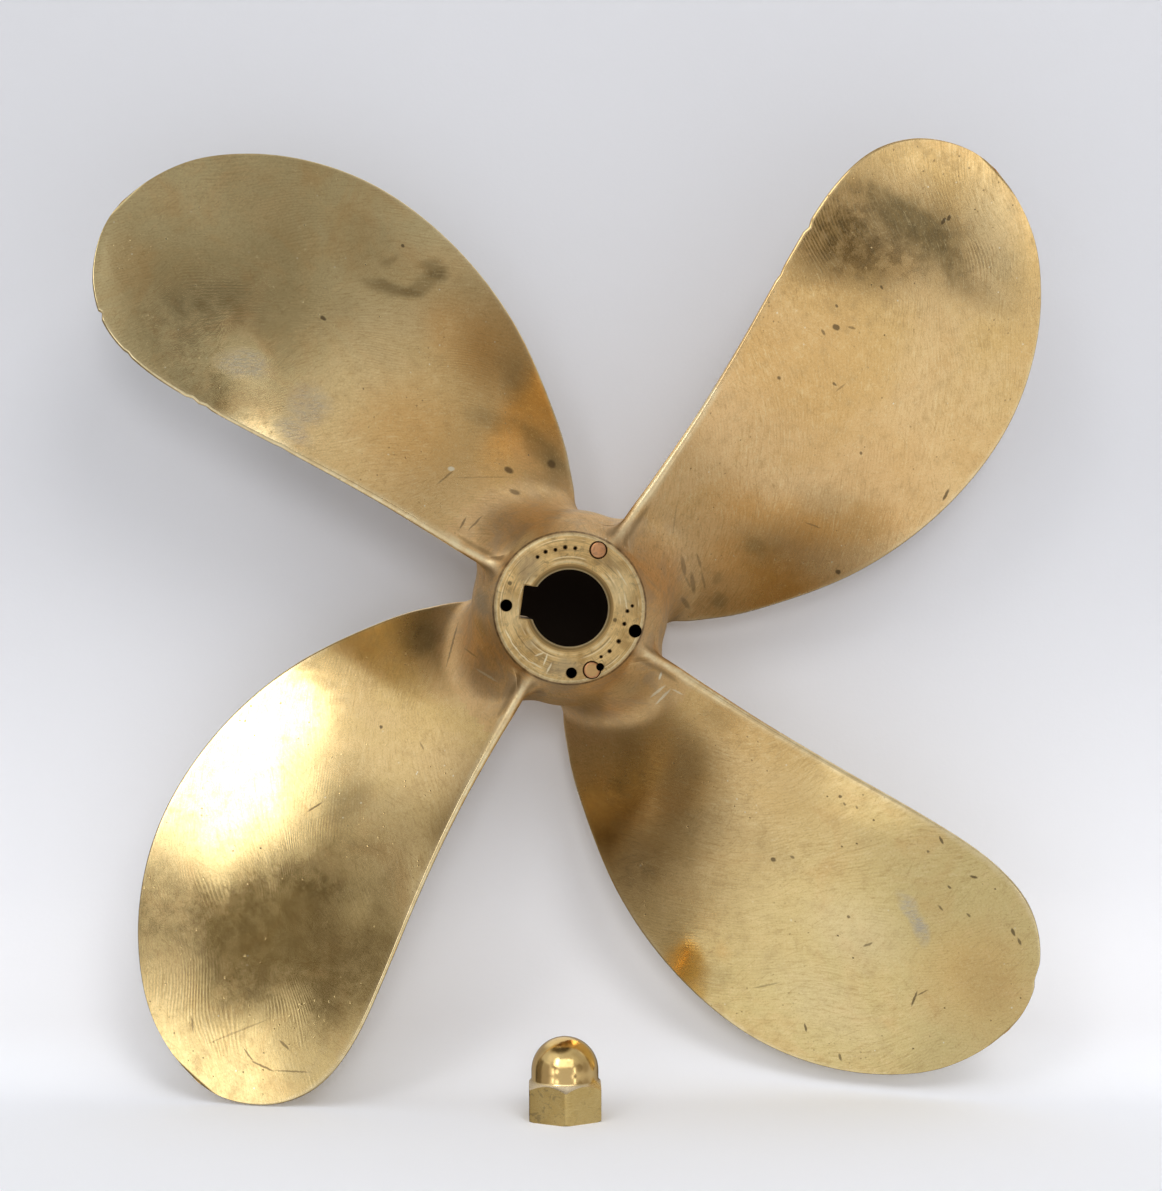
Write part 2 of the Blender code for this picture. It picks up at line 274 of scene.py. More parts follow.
# Scratches, pits and cracks, in the same order; a negative strength is a bright scratch
SCRATCHES = (
    (-49, 39, 3.1, 0.45, 64, 0.8),
    (-43.5, 39, 4.3, 0.45, 49, 0.7),
    (-57.5, 60.5, 4.8, 0.45, 43, 0.6),
    (-41, 61, 13, 0.35, 3, 0.3),
    (-29, 65, 2.2, 1.4, -26, 1.0),
    (-9, 69, 2.1, 1.8, -41, 0.9),
    (-26, 54.5, 2.5, 1.2, -20, 0.8),
    (-114.5, 134.5, 1.5, 0.8, -37, 1.1),
    (-79, 171, 0.9, 0.7, -45, 1.1),
    (-55, 64.5, 1.5, 1.1, -7, -0.8),
    (172, 178, 1.6, 0.7, 56, 1.3),
    (174.5, 179.5, 1.4, 0.7, 61, 1.3),
    (122.5, 129, 1.7, 1.2, -18, 1.3),
    (116.5, 126.5, 1.5, 0.6, -56, 0.8),
    (130, 129, 1.7, 0.6, -10, 0.7),
    (122.5, 138.5, 0.9, 0.6, -34, 0.9),
    (143.5, 147.5, 1.0, 0.6, -56, 0.9),
    (96, 105.5, 0.9, 0.8, -34, 0.9),
    (122.5, 103.5, 1.2, 0.6, -35, 0.9),
    (125.5, 102, 2.9, 0.4, 39, 0.5),
    (136.5, 72.5, 0.8, 0.7, -42, 0.9),
    (178.5, 53.5, 2.8, 0.7, 64, 1.1),
    (128.5, 17, 1.2, 1.0, -37, 1.1),
    (115, 39, 4.0, 0.4, -19, 0.5),
    (48.5, 40.5, 7.0, 0.4, 84, 0.3),
    (53.5, 19.5, 4.5, 1.1, -78, 0.55),
    (58.5, 11.5, 5.0, 1.1, -79, 0.55),
    (55.5, 2, 3.4, 1.2, -52, 0.5),
    (61, 22, 3.6, 0.6, -70, 0.5),
    (63.5, 13, 4.2, 0.6, -74, 0.45),
    (56, 12, 3.0, 0.6, -60, 0.4),
    (94.5, -117, 1.2, 1.0, -33, 1.1),
    (103, -115.5, 1.1, 0.6, -26, 0.8),
    (123.5, -86, 0.8, 0.7, -37, 1.1),
    (125.5, -89.5, 0.8, 0.5, -53, 0.8),
    (131, -91, 0.8, 0.5, -53, 0.7),
    (110.5, -197, 1.9, 0.5, -77, 1.2),
    (129, -143, 0.8, 0.7, -53, 0.9),
    (138, -156, 2.2, 0.6, 25, 0.8),
    (159.5, -181, 3.6, 0.5, 72, 1.1),
    (163, -178, 2.7, 0.35, 30, 0.8),
    (202.5, -148, 1.8, 0.7, -67, 1.1),
    (205.5, -152.5, 1.8, 0.6, -67, 0.9),
    (170, -137.5, 1.6, 0.5, -49, 0.8),
    (182.5, -140.5, 1.2, 0.5, -45, 0.8),
    (173.5, -127.5, 1.0, 0.5, -35, 0.9),
    (184, -122.5, 1.7, 0.6, -16, 1.0),
    (169, -105.5, 1.9, 0.6, -63, 1.0),
    (163.5, -111, 0.7, 0.6, -36, 0.8),
    (92.5, -177.5, 5.9, 0.45, 16, 0.5),
    (126.5, -210.5, 1.8, 0.6, -73, 0.9),
    (41.5, -31, 1.8, 0.5, 75, -0.9),
    (40.5, -38.5, 4.1, 0.6, 41, -0.6),
    (43, -41, 4.7, 0.5, 49, -0.6),
    (49.5, -38.5, 2.7, 0.35, -26, -0.5),
    (-119, -93, 4.3, 0.45, 33, 0.9),
    (-147.5, -205, 3.7, 0.45, -51, 0.9),
    (-140.5, -210, 5.4, 0.45, -21, 0.9),
    (-127, -211.5, 8.0, 0.4, 0, 0.7),
    (-174.5, -192.5, 3.5, 0.45, -81, 0.8),
    (-130.5, -200, 3.1, 0.6, -41, 0.8),
    (-153, -195, 14.5, 0.4, 23, 0.45),
    (-56, -17.5, 9.7, 0.45, 77, 0.7),
    (-46.5, -21, 3.4, 0.45, -31, 0.5),
    (-68.5, -64, 2.0, 0.4, -60, 0.6),
    (-88.5, -56, 0.8, 0.7, -41, 1.1),
    (-38.5, -31, 5.3, 0.5, -28, -0.5),
    (-27, 11.3, 1.0, 1.0, 0, 1.0),
    (20.5, -5.4, 0.9, 0.9, 0, 1.0),
    # Print of a washer, low on the left of the aft face
    (-27.5, -12.6, 3.4, 0.35, 118, -0.8),
    (-24.6, -17.6, 3.0, 0.35, 128, -0.8),
    (-20.4, -22.2, 3.2, 0.35, 138, -0.7),
    (-15.2, -25.6, 3.0, 0.35, 152, -0.7),
    (-24.0, -10.6, 3.0, 0.30, 116, 0.5),
    (-21.4, -15.0, 2.8, 0.30, 126, 0.5),
    (-17.6, -19.0, 2.8, 0.30, 138, 0.5),
    (-10.8, -23.2, 2.6, 0.40, 70, -0.9),
    (-9.2, -27.0, 2.4, 0.40, 62, -0.8),
    (-13.6, -20.8, 2.2, 0.35, 20, -0.7),
    (19.0, 17.6, 4.0, 0.35, 134, 0.5),
    (23.6, 14.0, 4.2, 0.35, 122, -0.6),
    (25.4, 3.0, 4.0, 0.35, 100, -0.6),
    (-20.6, 17.4, 3.4, 0.30, 40, 0.4),
    (-24.6, 9.4, 2.6, 0.30, 70, 0.4),
)


def smooth_curve(x, xs, ys):
    """A smooth curve through given points, at every value of the array x."""
    slopes = np.gradient(ys, xs)
    i = np.clip(np.searchsorted(xs, x) - 1, 0, len(xs) - 2)
    step = xs[i + 1] - xs[i]
    t = (x - xs[i]) / step
    start = (2 * t**3 - 3 * t**2 + 1) * ys[i] + (t**3 - 2 * t**2 + t) * step * slopes[i]
    end = (3 * t**2 - 2 * t**3) * ys[i + 1] + (t**3 - t**2) * step * slopes[i + 1]
    return start + end


def hub_radius(depth):
    """Outer radius of the hub at each depth forward of its aft face."""
    rise = np.sin(np.pi / 2 * np.clip(depth, 0, BARREL_DEPTH) / BARREL_DEPTH)
    fall = np.clip((depth - BARREL_DEPTH) / (HUB_LENGTH - BARREL_DEPTH), 0, 1)
    widening = AFT_FACE_RADIUS + (BARREL_RADIUS - AFT_FACE_RADIUS) * rise
    return widening + (FORWARD_FACE_RADIUS - BARREL_RADIUS) * fall**2


def edge_angles(fraction, number):
    """Trailing-edge and leading-edge angles of a blade at each fraction of its tip radius."""
    table = np.array(OUTLINE[::-1])
    from_tip = np.sqrt(np.maximum(1 - fraction, 0))
    knots = np.sqrt(1 - table[:, 0])
    trailing = smooth_curve(from_tip, knots, table[:, 1])
    leading = smooth_curve(from_tip, knots, table[:, 2])
    for owner, place, half, depth, on_trailing in NICKS:
        if owner == number:
            bite = depth * np.clip(1 - np.abs(fraction - place) / half, 0, 1)
            trailing = trailing + bite * on_trailing
            leading = leading - bite * (not on_trailing)
    return trailing, leading


def line_angle(number, radius):
    """Angle of a blade's bent trailing-edge line at each radius."""
    _, angle, bend, tip = BLADES[number]
    return angle + bend * (radius / tip - BEND_FRACTION)


# Low waves of hand grinding: their height, how strongly each blade's aft face has them, how many
# there are, and the shortest and longest
WAVE_HEIGHT = 0.00022
FACE_WAVES = (0.60, 0.30, 0.75, 0.60)
WAVE_COUNT = 16
WAVE_LENGTHS = (0.022, 0.095)


def waviness(number, side, across, along):
    """Low waves of hand grinding: a fixed sum of sines over the blade, from -1 to 1 or so."""
    draw = np.random.default_rng(100 + 10 * number + side)
    total = np.zeros_like(across)
    for _ in range(WAVE_COUNT):
        length = draw.uniform(*WAVE_LENGTHS)
        turn = draw.uniform(0, math.pi)
        phase = draw.uniform(0, 2 * math.pi)
        run = across * math.cos(turn) + along * math.sin(turn)
        total += (length / WAVE_LENGTHS[1]) ** 1.6 * np.sin(2 * np.pi * run / length + phase)
    return total / 2.6


class Section:
    """The columns that run round a blade's section: face, leading nose, back, trailing nose."""

    def __init__(self):
        share = (1 - np.cos(np.linspace(0, np.pi, FACE_COLUMNS))) / 2
        nose = np.radians(np.linspace(-90, 90, NOSE_COLUMNS + 2)[1:-1])
        zeros = np.zeros(NOSE_COLUMNS)
        self.share = np.concatenate([share, zeros + 1, share[::-1], zeros])
        self.turn = np.concatenate([share * 0, nose, share * 0, nose + np.pi])
        kinds = (0, FACE_COLUMNS), (1, NOSE_COLUMNS), (2, FACE_COLUMNS), (3, NOSE_COLUMNS)
        self.kind = np.concatenate([np.full(n, kind) for kind, n in kinds])
        self.count = len(self.kind)
        bulge = 4 * self.share * (1 - self.share)
        self.bulge = bulge
        widest = np.where(self.kind == 0, FACE_FILLET, BACK_FILLET)
        self.fillet = EDGE_FILLET + (widest - EDGE_FILLET) * bulge**0.7


SECTION = Section()


def blade_points(number, radius, flare):
    """Points round a blade's section, for arrays of rows by columns, and their depths."""
    tip = BLADES[number][3] - TIP_TRIM
    trailing, leading = edge_angles(radius / tip, number)
    slope = np.arctan2(LEAD, radius)
    inward = np.clip((radius - BARREL_RADIUS) / (tip - BARREL_RADIUS), 0, 1)
    thickest = TIP_THICKNESS + (ROOT_THICKNESS - TIP_THICKNESS) * (1 - inward) ** 1.1
    chord = radius * np.radians(leading - trailing) / np.cos(slope)
    near_root = np.clip((0.19 - radius) / 0.145, 0, 1) ** 1.6
    edge = EDGE_THICKNESS + (ROOT_EDGE_THICKNESS - EDGE_THICKNESS) * near_root
    nose = np.minimum(edge, chord / 4)
    hump = SECTION.bulge**1.2
    thickness = nose + (thickest - nose) * hump
    on_chord = nose / 2 + SECTION.share * (chord - nose)
    lift = (thickest - nose) * np.gradient(hump, SECTION.share + np.arange(SECTION.count) * 1e-9)
    back_slope = np.arctan2(np.where(SECTION.kind == 2, lift, 0), chord)
    back_slope = np.clip(np.nan_to_num(back_slope), -0.6, 0.6)
    kind = SECTION.kind + np.zeros_like(radius)
    around_nose = SECTION.turn + np.zeros_like(radius)
    round_along = nose / 2 + nose / 2 * np.cos(around_nose)
    round_offset = nose / 2 + nose / 2 * np.sin(around_nose)
    along = np.select(
        [kind == 1, kind == 3],
        [chord - nose + round_along, round_along],
        on_chord + 0 * round_along,
    )
    flat_kinds = [kind == 0, kind == 2]
    offset = np.select(flat_kinds, [0 * nose, thickness], round_offset)
    normal_along = np.select(flat_kinds, [0 * nose, -np.sin(back_slope)], np.cos(around_nose))
    normal_offset = np.select(flat_kinds, [0 * nose - 1, np.cos(back_slope)], np.sin(around_nose))
    # The very tip is rounded off in the other direction too.
    inside = np.clip((tip - radius) / (EDGE_THICKNESS / 2), 0, 1)
    squeeze = np.sqrt(1 - (1 - inside) ** 2)
    offset = nose / 2 + (offset - nose / 2) * squeeze
    along = along + flare * normal_along
    offset = offset + flare * normal_offset
    around = along * np.cos(slope) - offset * np.sin(slope)
    depth = TRAILING_EDGE_DEPTH + LEAD * np.radians(trailing)
    depth = depth + along * np.sin(slope) + offset * np.cos(slope)
    angle = np.radians(line_angle(number, radius) - trailing) - around / radius
    depth = np.maximum(depth, 0.0002)
    points = np.stack([radius * np.cos(angle), depth - HUB_LENGTH, radius * np.sin(angle)], axis=-1)
    return points, depth, along


def radius_on_hub(number, height, flare, start):
    """Radius of each point at a height over the hub, found by repeated correction."""
    radius = start
    for _ in range(12):
        _, depth, _ = blade_points(number, radius, flare)
        radius = hub_radius(depth) + height
    return radius


def blade_rows(number):
    """Every point of one blade, row by row from the tip to a skirt inside the hub."""
    tip = BLADES[number][3] - TIP_TRIM
    columns = SECTION.count
    ones = np.ones(columns)
    inner = math.sqrt(1 - BLEND_RADIUS / tip)
    steps = np.linspace(0.004, inner, OUTER_ROWS)
    radii = [tip * (1 - step**2) * ones for step in steps]
    flares = [0 * ones for _ in steps]
    start = np.full(columns, 0.05)
    top = radius_on_hub(number, SECTION.fillet, 0 * ones, start)
    for i in range(1, BLEND_ROWS + 1):
        radii.append(BLEND_RADIUS + (top - BLEND_RADIUS) * i / BLEND_ROWS)
        flares.append(0 * ones)
    for i in range(1, FILLET_ROWS + 1):
        turn = math.pi / 2 * i / FILLET_ROWS
        flare = SECTION.fillet * (1 - math.cos(turn))
        height = SECTION.fillet * (1 - math.sin(turn))
        radii.append(radius_on_hub(number, height, flare, radii[-1]))
        flares.append(flare)
    for sink in (0.001, 0.004):
        radii.append(radius_on_hub(number, -sink, SECTION.fillet, radii[-1]))
        flares.append(SECTION.fillet)
    radius = np.array(radii)
    points, _, along = blade_points(number, radius, np.array(flares))
    points = wavy(number, points, radius, along)
    points[..., 1] = np.minimum(points[..., 1], -FORWARD_CLEARANCE)
    return points


def wavy(number, points, radius, along):
    """Moves the two broad sides of a blade by their low waves, dents and swellings."""
    down = np.gradient(points, axis=0)
    across = np.gradient(points, axis=1)
    normals = np.cross(across, down)
    normals /= np.maximum(np.linalg.norm(normals, axis=2, keepdims=True), 1e-12)
    tip = BLADES[number][3]
    from_edge = np.clip(SECTION.bulge * 2.2, 0, 1)
    from_tip = np.clip((tip - radius) / 0.02, 0, 1)
    from_hub = np.clip((radius - 0.062) / 0.03, 0, 1)
    weight = from_edge * from_tip * from_hub
    on_face = SECTION.kind == 0
    waves = np.where(
        on_face,
        waviness(number, 0, along, radius) * FACE_WAVES[number],
        waviness(number, 1, along, radius),
    )
    push = WAVE_HEIGHT * waves * weight
    trail = np.degrees(along * np.cos(np.arctan2(LEAD, radius)) / radius)
    for owner, angle, place, reach, height in SWELLINGS:
        if owner == number:
            gap = np.hypot(radius * np.radians(trail - angle), radius - place)
            push = push + np.where(on_face, height * np.exp(-((gap / reach) ** 2)), 0) * weight
    outward = np.where((normals[..., 1] > 0)[..., None], normals, -normals)
    sign = np.where(on_face, -1.0, 1.0)[None, :, None]
    return points + outward * sign * push[..., None] * np.isin(SECTION.kind, (0, 2))[None, :, None]


def blade_solid(number):
    """One closed blade that reaches into the hub."""
    rows = blade_rows(number)
    bm = bmesh.new()
    loops = [[bm.verts.new(point) for point in row] for row in rows.tolist()]
    for upper, lower in zip(loops, loops[1:]):
        for i in range(len(upper)):
            j = (i + 1) % len(upper)
            bm.faces.new((upper[i], upper[j], lower[j], lower[i]))
    face = FACE_COLUMNS
    for loop in (loops[0], loops[-1]):
        back = loop[face + NOSE_COLUMNS:2 * face + NOSE_COLUMNS][::-1]
        for i in range(face - 1):
            bm.faces.new((loop[i], loop[i + 1], back[i + 1], back[i]))
        bm.faces.new([loop[face - 1], *loop[face:face + NOSE_COLUMNS], back[face - 1]])
        bm.faces.new([back[0], *loop[2 * face + NOSE_COLUMNS:], loop[0]])
    bmesh.ops.recalc_face_normals(bm, faces=bm.faces)
    return new_mesh_object(BLADES[number][0], bm)


def new_mesh_object(name, bm, matrix=None):
    mesh = bpy.data.meshes.new(name)
    bm.to_mesh(mesh)
    bm.free()
    mesh.shade_smooth()
    piece = bpy.data.objects.new(name, mesh)
    bpy.context.scene.collection.objects.link(piece)
    if matrix is not None:
        piece.matrix_world = matrix
    return piece


def turned(name, profile, sides, matrix):
    """A closed solid turned about its own Z from a profile of (radius, height) points."""
    bm = bmesh.new()
    angles = np.linspace(0, 2 * np.pi, sides, endpoint=False)
    rings = []
    for radius, height in profile:
        if radius < 1e-9:
            rings.append([bm.verts.new((0, 0, height))])
        else:
            round_points = [(radius * math.cos(a), radius * math.sin(a), height) for a in angles]
            rings.append([bm.verts.new(point) for point in round_points])
    for upper, lower in zip(rings, rings[1:]):
        for i in range(sides):
            places = ((upper, i), (lower, i), (lower, i + 1), (upper, i + 1))
            corners = [ring[place % len(ring)] for ring, place in places]
            bm.faces.new(list(dict.fromkeys(corners)))
    bmesh.ops.recalc_face_normals(bm, faces=bm.faces)
    return new_mesh_object(name, bm, matrix)


def on_aft_face(angle, radius, depth):
    """A frame on the aft face at an angle and radius, sunk by a depth, with +Z aft."""
    turn = Matrix.Rotation(math.radians(angle), 4, "Z")
    return AFT @ turn @ Matrix.Translation((radius, 0, HUB_LENGTH - depth))


def apply_booleans(piece, steps):
    """Joins solids to a piece or cuts them out of it, and removes them."""
    for operation, other in steps:
        change = piece.modifiers.new(other.name, "BOOLEAN")
        change.operation = operation
        change.object = other
        change.solver = "MANIFOLD"
    bpy.context.view_layer.update()
    graph = bpy.context.evaluated_depsgraph_get()
    mesh = bpy.data.meshes.new_from_object(piece.evaluated_get(graph))
    mesh.transform(piece.matrix_world)
    piece.modifiers.clear()
    piece.data = mesh
    piece.matrix_world = Matrix.Identity(4)
    for _, other in steps:
        bpy.data.objects.remove(other, do_unlink=True)


def hub_solid():
    depths = np.linspace(RIM_CHAMFER, HUB_LENGTH - RIM_CHAMFER, HUB_ROWS)
    side = [(float(hub_radius(d)), HUB_LENGTH - float(d)) for d in depths]
    aft = [(0.0, HUB_LENGTH), (AFT_FACE_RADIUS - RIM_CHAMFER, HUB_LENGTH)]
    aft.append((AFT_FACE_RADIUS - RIM_CHAMFER * 0.3, HUB_LENGTH - RIM_CHAMFER * 0.3))
    forward = [(FORWARD_FACE_RADIUS - RIM_CHAMFER, 0.0), (0.0, 0.0)]
    return turned("propeller_casting_fine", aft + side + forward, HUB_SIDES, AFT)


def bore_solid():
    def radius(depth):
        return BORE_AFT_RADIUS + BORE_TAPER * depth

    mouth = BORE_AFT_RADIUS + BORE_CHAMFER
    forward_mouth = radius(HUB_LENGTH) + FORWARD_CHAMFER
    profile = [
        (0.0, HUB_LENGTH + MARGIN),
        (mouth + MARGIN, HUB_LENGTH + MARGIN),
        (mouth, HUB_LENGTH),
        (radius(BORE_CHAMFER) + 0.0004, HUB_LENGTH - BORE_CHAMFER + 0.0004),
        (radius(BORE_CHAMFER), HUB_LENGTH - BORE_CHAMFER - 0.0004),
        *[(radius(depth), HUB_LENGTH - depth) for depth in (0.006, 0.012, 0.045, 0.085)],
        (radius(HUB_LENGTH - FORWARD_CHAMFER), FORWARD_CHAMFER),
        (forward_mouth, 0.0),
        (forward_mouth + MARGIN, -MARGIN),
        (0.0, -MARGIN),
    ]
    return turned("bore", profile, HUB_SIDES, AFT)


def keyway_solid():
    bm = bmesh.new()
    bmesh.ops.create_cube(bm, size=1.0)
    height = KEYWAY_FLOOR_RADIUS
    bmesh.ops.scale(bm, verts=bm.verts, vec=(height, KEYWAY_WIDTH, HUB_LENGTH + 0.03))
    bmesh.ops.translate(bm, verts=bm.verts, vec=(-height / 2, 0, 0))
    long_edges = [e for e in bm.edges if abs(e.verts[0].co.z - e.verts[1].co.z) > 0.05]
    outer = [e for e in long_edges if e.verts[0].co.x > -height / 2]
    bmesh.ops.bevel(bm, geom=outer, offset=0.0006, segments=3, affect="EDGES", profile=0.5)
    middle = KEYWAY_FLOOR_RADIUS + BORE_TAPER * HUB_LENGTH / 2
    turn = Matrix.Rotation(math.radians(KEYWAY_ANGLE), 4, "Z")
    tilt = Matrix.Rotation(-math.atan(BORE_TAPER), 4, "Y")
    seat = Matrix.Translation((middle, 0, HUB_LENGTH / 2))
    return new_mesh_object("keyway", bm, AFT @ turn @ seat @ tilt)


def keyway_mouth_solid():
    """The broken edge of the keyway at the aft face, widening towards the face."""
    edge = 0.0005
    bm = bmesh.new()
    bmesh.ops.create_cube(bm, size=1.0)
    for vertex in bm.verts:
        flare = edge * 2 if vertex.co.z > 0 else 0.0
        across = KEYWAY_WIDTH / 2 + flare
        vertex.co.y = math.copysign(across, vertex.co.y)
        vertex.co.x = KEYWAY_FLOOR_RADIUS + flare if vertex.co.x > 0 else 0.0
        vertex.co.z = HUB_LENGTH + (edge if vertex.co.z > 0 else -edge)
    turn = Matrix.Rotation(math.radians(KEYWAY_ANGLE), 4, "Z")
    return new_mesh_object("keyway_mouth", bm, AFT @ turn)


def drill(name, angle, place, radius, depth, sides=40, edge=0.00025):
    """A drilled hole's solid, with a slightly broken edge at its mouth."""
    frame_on_face = on_aft_face(angle, place, depth)
    profile = [
        (0.0, depth + MARGIN),
        (radius + edge + MARGIN, depth + MARGIN),
        (radius + edge, depth),
        (radius, depth - edge),
        (radius, 0.0),
        (0.0, -radius * 0.55),
    ]
    return turned(name, profile, sides, frame_on_face)


def dimple(name, angle, place, size):
    """A centre-punch mark in the aft face."""
    above = 0.002
    profile = [(0.0, above), (size + 0.6 * above, above), (size, 0.0)]
    profile += [(size * 0.5, -size * 0.7), (0.0, -size * 0.9)]
    return turned(name, profile, 20, on_aft_face(angle, place, 0.0))


# Plain punch marks where the real face is stamped: angle and radius of the place, size
PUNCH_MARKS = (
    (122.0, 0.0272, 0.00100),
    (113.0, 0.0276, 0.00110),
    (103.5, 0.0271, 0.00100),
    (94.0, 0.0275, 0.00115),
    (84.5, 0.0272, 0.00105),
    (2.0, 0.0284, 0.00090),
    (-3.0, 0.0262, 0.00100),
    (-16.0, 0.0258, 0.00110),
    (-34.0, 0.0268, 0.00120),
    (-47.0, 0.0266, 0.00110),
    (-57.0, 0.0262, 0.00090),
)


def fine_casting():
    casting = hub_solid()
    blades = [blade_solid(number) for number in range(len(BLADES))]
    cuts = [bore_solid(), keyway_solid(), keyway_mouth_solid()]
    cuts += [drill(f"hole_{i + 1}", *hole) for i, hole in enumerate(DRILLED_HOLES)]
    for name, angle, place, radius in PLUGS:
        depth = PLUG_SINK + PLUG_LENGTH + SEAT_GAP
        cuts.append(drill(f"{name}_socket", angle, place, radius + SEAT_GAP, depth))
    cuts.append(drill("plug_drilling", *PLUG_DRILLING))
    cuts += [dimple(f"punch_{i + 1}", *mark) for i, mark in enumerate(PUNCH_MARKS)]
    steps = [("UNION", blade) for blade in blades] + [("DIFFERENCE", cut) for cut in cuts]
    apply_booleans(casting, steps)
    casting.data.shade_smooth()
    casting.data.set_sharp_from_angle(angle=math.radians(34))
    add_casting_fields(casting.data)
    return casting


# Where the blade ends and the hub's skin begins, and how far the pale blade edges, partly wear and
# partly painted highlight, reach in
BLADE_START_RADIUS = 0.047
WEAR_AND_HIGHLIGHT_START = 0.056
WEAR_AND_HIGHLIGHT_WIDTH = 0.0032

# A blade's crest over the hub, pale as wear and painted highlight, with painted shade along both
# sides:
# how far it runs forward of the blade's trailing-edge line, its half width, the middle of the
# painted shade beside it, and where it ends outward and forward
CREST_SHIFT = 0.0008
CREST_WIDTH = 0.0011
CREST_BORDER = 0.0030
CREST_END_RADIUS = 0.058
CREST_DEPTH = 0.016


def vertex_places(mesh):
    co = np.zeros(len(mesh.vertices) * 3, np.float32)
    mesh.vertices.foreach_get("co", co)
    return co.reshape(-1, 3)


def smooth_step(x):
    x = np.clip(x, 0, 1)
    return x * x * (3 - 2 * x)


def add_casting_fields(mesh):
    """Stores where each vertex lies on its blade, for the grain and tarnish of the material, its
    painted highlights and shade, and the painted shade inside holes.
    """
    co = vertex_places(mesh).astype(float)
    radius = np.hypot(co[:, 0], co[:, 2])
    angle = np.degrees(np.arctan2(co[:, 2], co[:, 0]))
    best = np.full(len(co), 400.0)
    owner = np.zeros(len(co), int)
    for number in range(len(BLADES)):
        behind = (line_angle(number, radius) - angle + 14) % 360 - 14
        closer = behind < best
        best = np.where(closer, behind, best)
        owner = np.where(closer, number, owner)
    slope = np.arctan2(LEAD, radius)
    across = radius * np.radians(best) / np.cos(slope)
    on_blade = np.clip((radius - BLADE_START_RADIUS) / 0.02, 0, 1)
    grain = np.stack([across, radius, owner * 0.37], axis=1)
    add_field(mesh, "grain", "FLOAT_VECTOR", grain)
    add_field(mesh, "on_blade", "FLOAT", on_blade)
    edge = np.full(len(co), 1.0)
    share = np.zeros(len(co))
    for number in range(len(BLADES)):
        tip = BLADES[number][3]
        trailing, leading = edge_angles(np.clip(radius / tip, 0.1, 1.0), number)
        gap = np.minimum(best - trailing, leading - best)
        distance = radius * np.radians(gap)
        edge = np.where(owner == number, np.minimum(distance, 2 * (tip - radius)), edge)
        share = np.where(owner == number, (best - trailing) / (leading - trailing + 1e-6), share)
    # Pale edges and crests, partly wear and partly painted highlight; a negative value is painted
    # shade beside the crests
    edge_wear_and_painted_light = np.clip(1 - np.maximum(edge, 0) / WEAR_AND_HIGHLIGHT_WIDTH, 0, 1) * (radius > WEAR_AND_HIGHLIGHT_START)
    edge_wear_and_painted_light = edge_wear_and_painted_light * np.where((owner == 1) & (radius > 0.12) & (share < 0.5), 0.3, 1.0)
    from_crest = radius * np.radians(best) - CREST_SHIFT
    crest = np.clip(1.5 - np.abs(from_crest) / CREST_WIDTH, 0, 1)
    from_border = np.abs(np.abs(from_crest - 0.0003) - CREST_BORDER)
    crest_shade_mask = np.clip(1.4 - from_border / CREST_WIDTH, 0, 1)
    on_crest = (radius > AFT_FACE_RADIUS) * (radius <= CREST_END_RADIUS)
    on_crest = on_crest * (co[:, 1] < CREST_DEPTH - HUB_LENGTH)
    edge_wear_and_painted_light = np.maximum(edge_wear_and_painted_light, crest * on_crest) - 0.55 * crest_shade_mask * on_crest * (crest <= 0)
    add_field(mesh, "wear_and_painted_light", "FLOAT", edge_wear_and_painted_light)
    toward_root = 1 - smooth_step((radius - 0.06) / 0.12)
    toward_leading = smooth_step((share - 0.45) / 0.4) * (1 - smooth_step((radius - 0.11) / 0.10))
    greenness, start, brownness = np.array(TARNISH)[owner].T
    browned = brownness * (0.4 * toward_root + 0.45 * toward_leading * on_blade)
    add_field(mesh, "browned", "FLOAT", browned)
    add_field(mesh, "olive", "FLOAT", greenness * smooth_step((radius - start) / 0.12))
    # Painted shade: the walls of the bore and the drilled holes are painted near-black
    depth = co[:, 1] + HUB_LENGTH
    below_skin = radius < hub_radius(depth) - 0.0006
    drilled = (radius > 0.0245) & (depth < 0.02)
    in_hole = np.clip((depth - 0.0001) / 0.0003, 0, 1)
    in_bore = np.clip((depth - 0.0026) / 0.0015, 0, 1)
    in_bore = in_bore * np.clip((HUB_LENGTH - 0.0012 - depth) / 0.001, 0, 1)
    add_field(mesh, "inside", "FLOAT", below_skin * np.where(drilled, in_hole, in_bore))


def choose_materials(mesh):
    """Gives each face the material of its blade or, near the axis, of the hub."""
    co = vertex_places(mesh)
    starts = np.zeros(len(mesh.polygons), np.int32)
    mesh.polygons.foreach_get("loop_start", starts)
    corners = np.zeros(len(mesh.loops), np.int32)
    mesh.loops.foreach_get("vertex_index", corners)
    x, _, z = co[corners[starts]].T
    part = np.zeros(len(starts), np.int32)
    for number, (side_x, side_z) in enumerate(QUADRANTS):
        part = np.where((side_x * x > 0) & (side_z * z > 0), number, part)
    part = np.where(np.hypot(x, z) < HUB_SKIN_RADIUS, len(BLADES), part)
    mesh.polygons.foreach_set("material_index", part.astype(np.int32))


def add_field(mesh, name, kind, values):
    field = mesh.attributes.new(name, kind, "POINT")
    key = "vector" if kind == "FLOAT_VECTOR" else "value"
    field.data.foreach_set(key, np.asarray(values, np.float32).ravel())


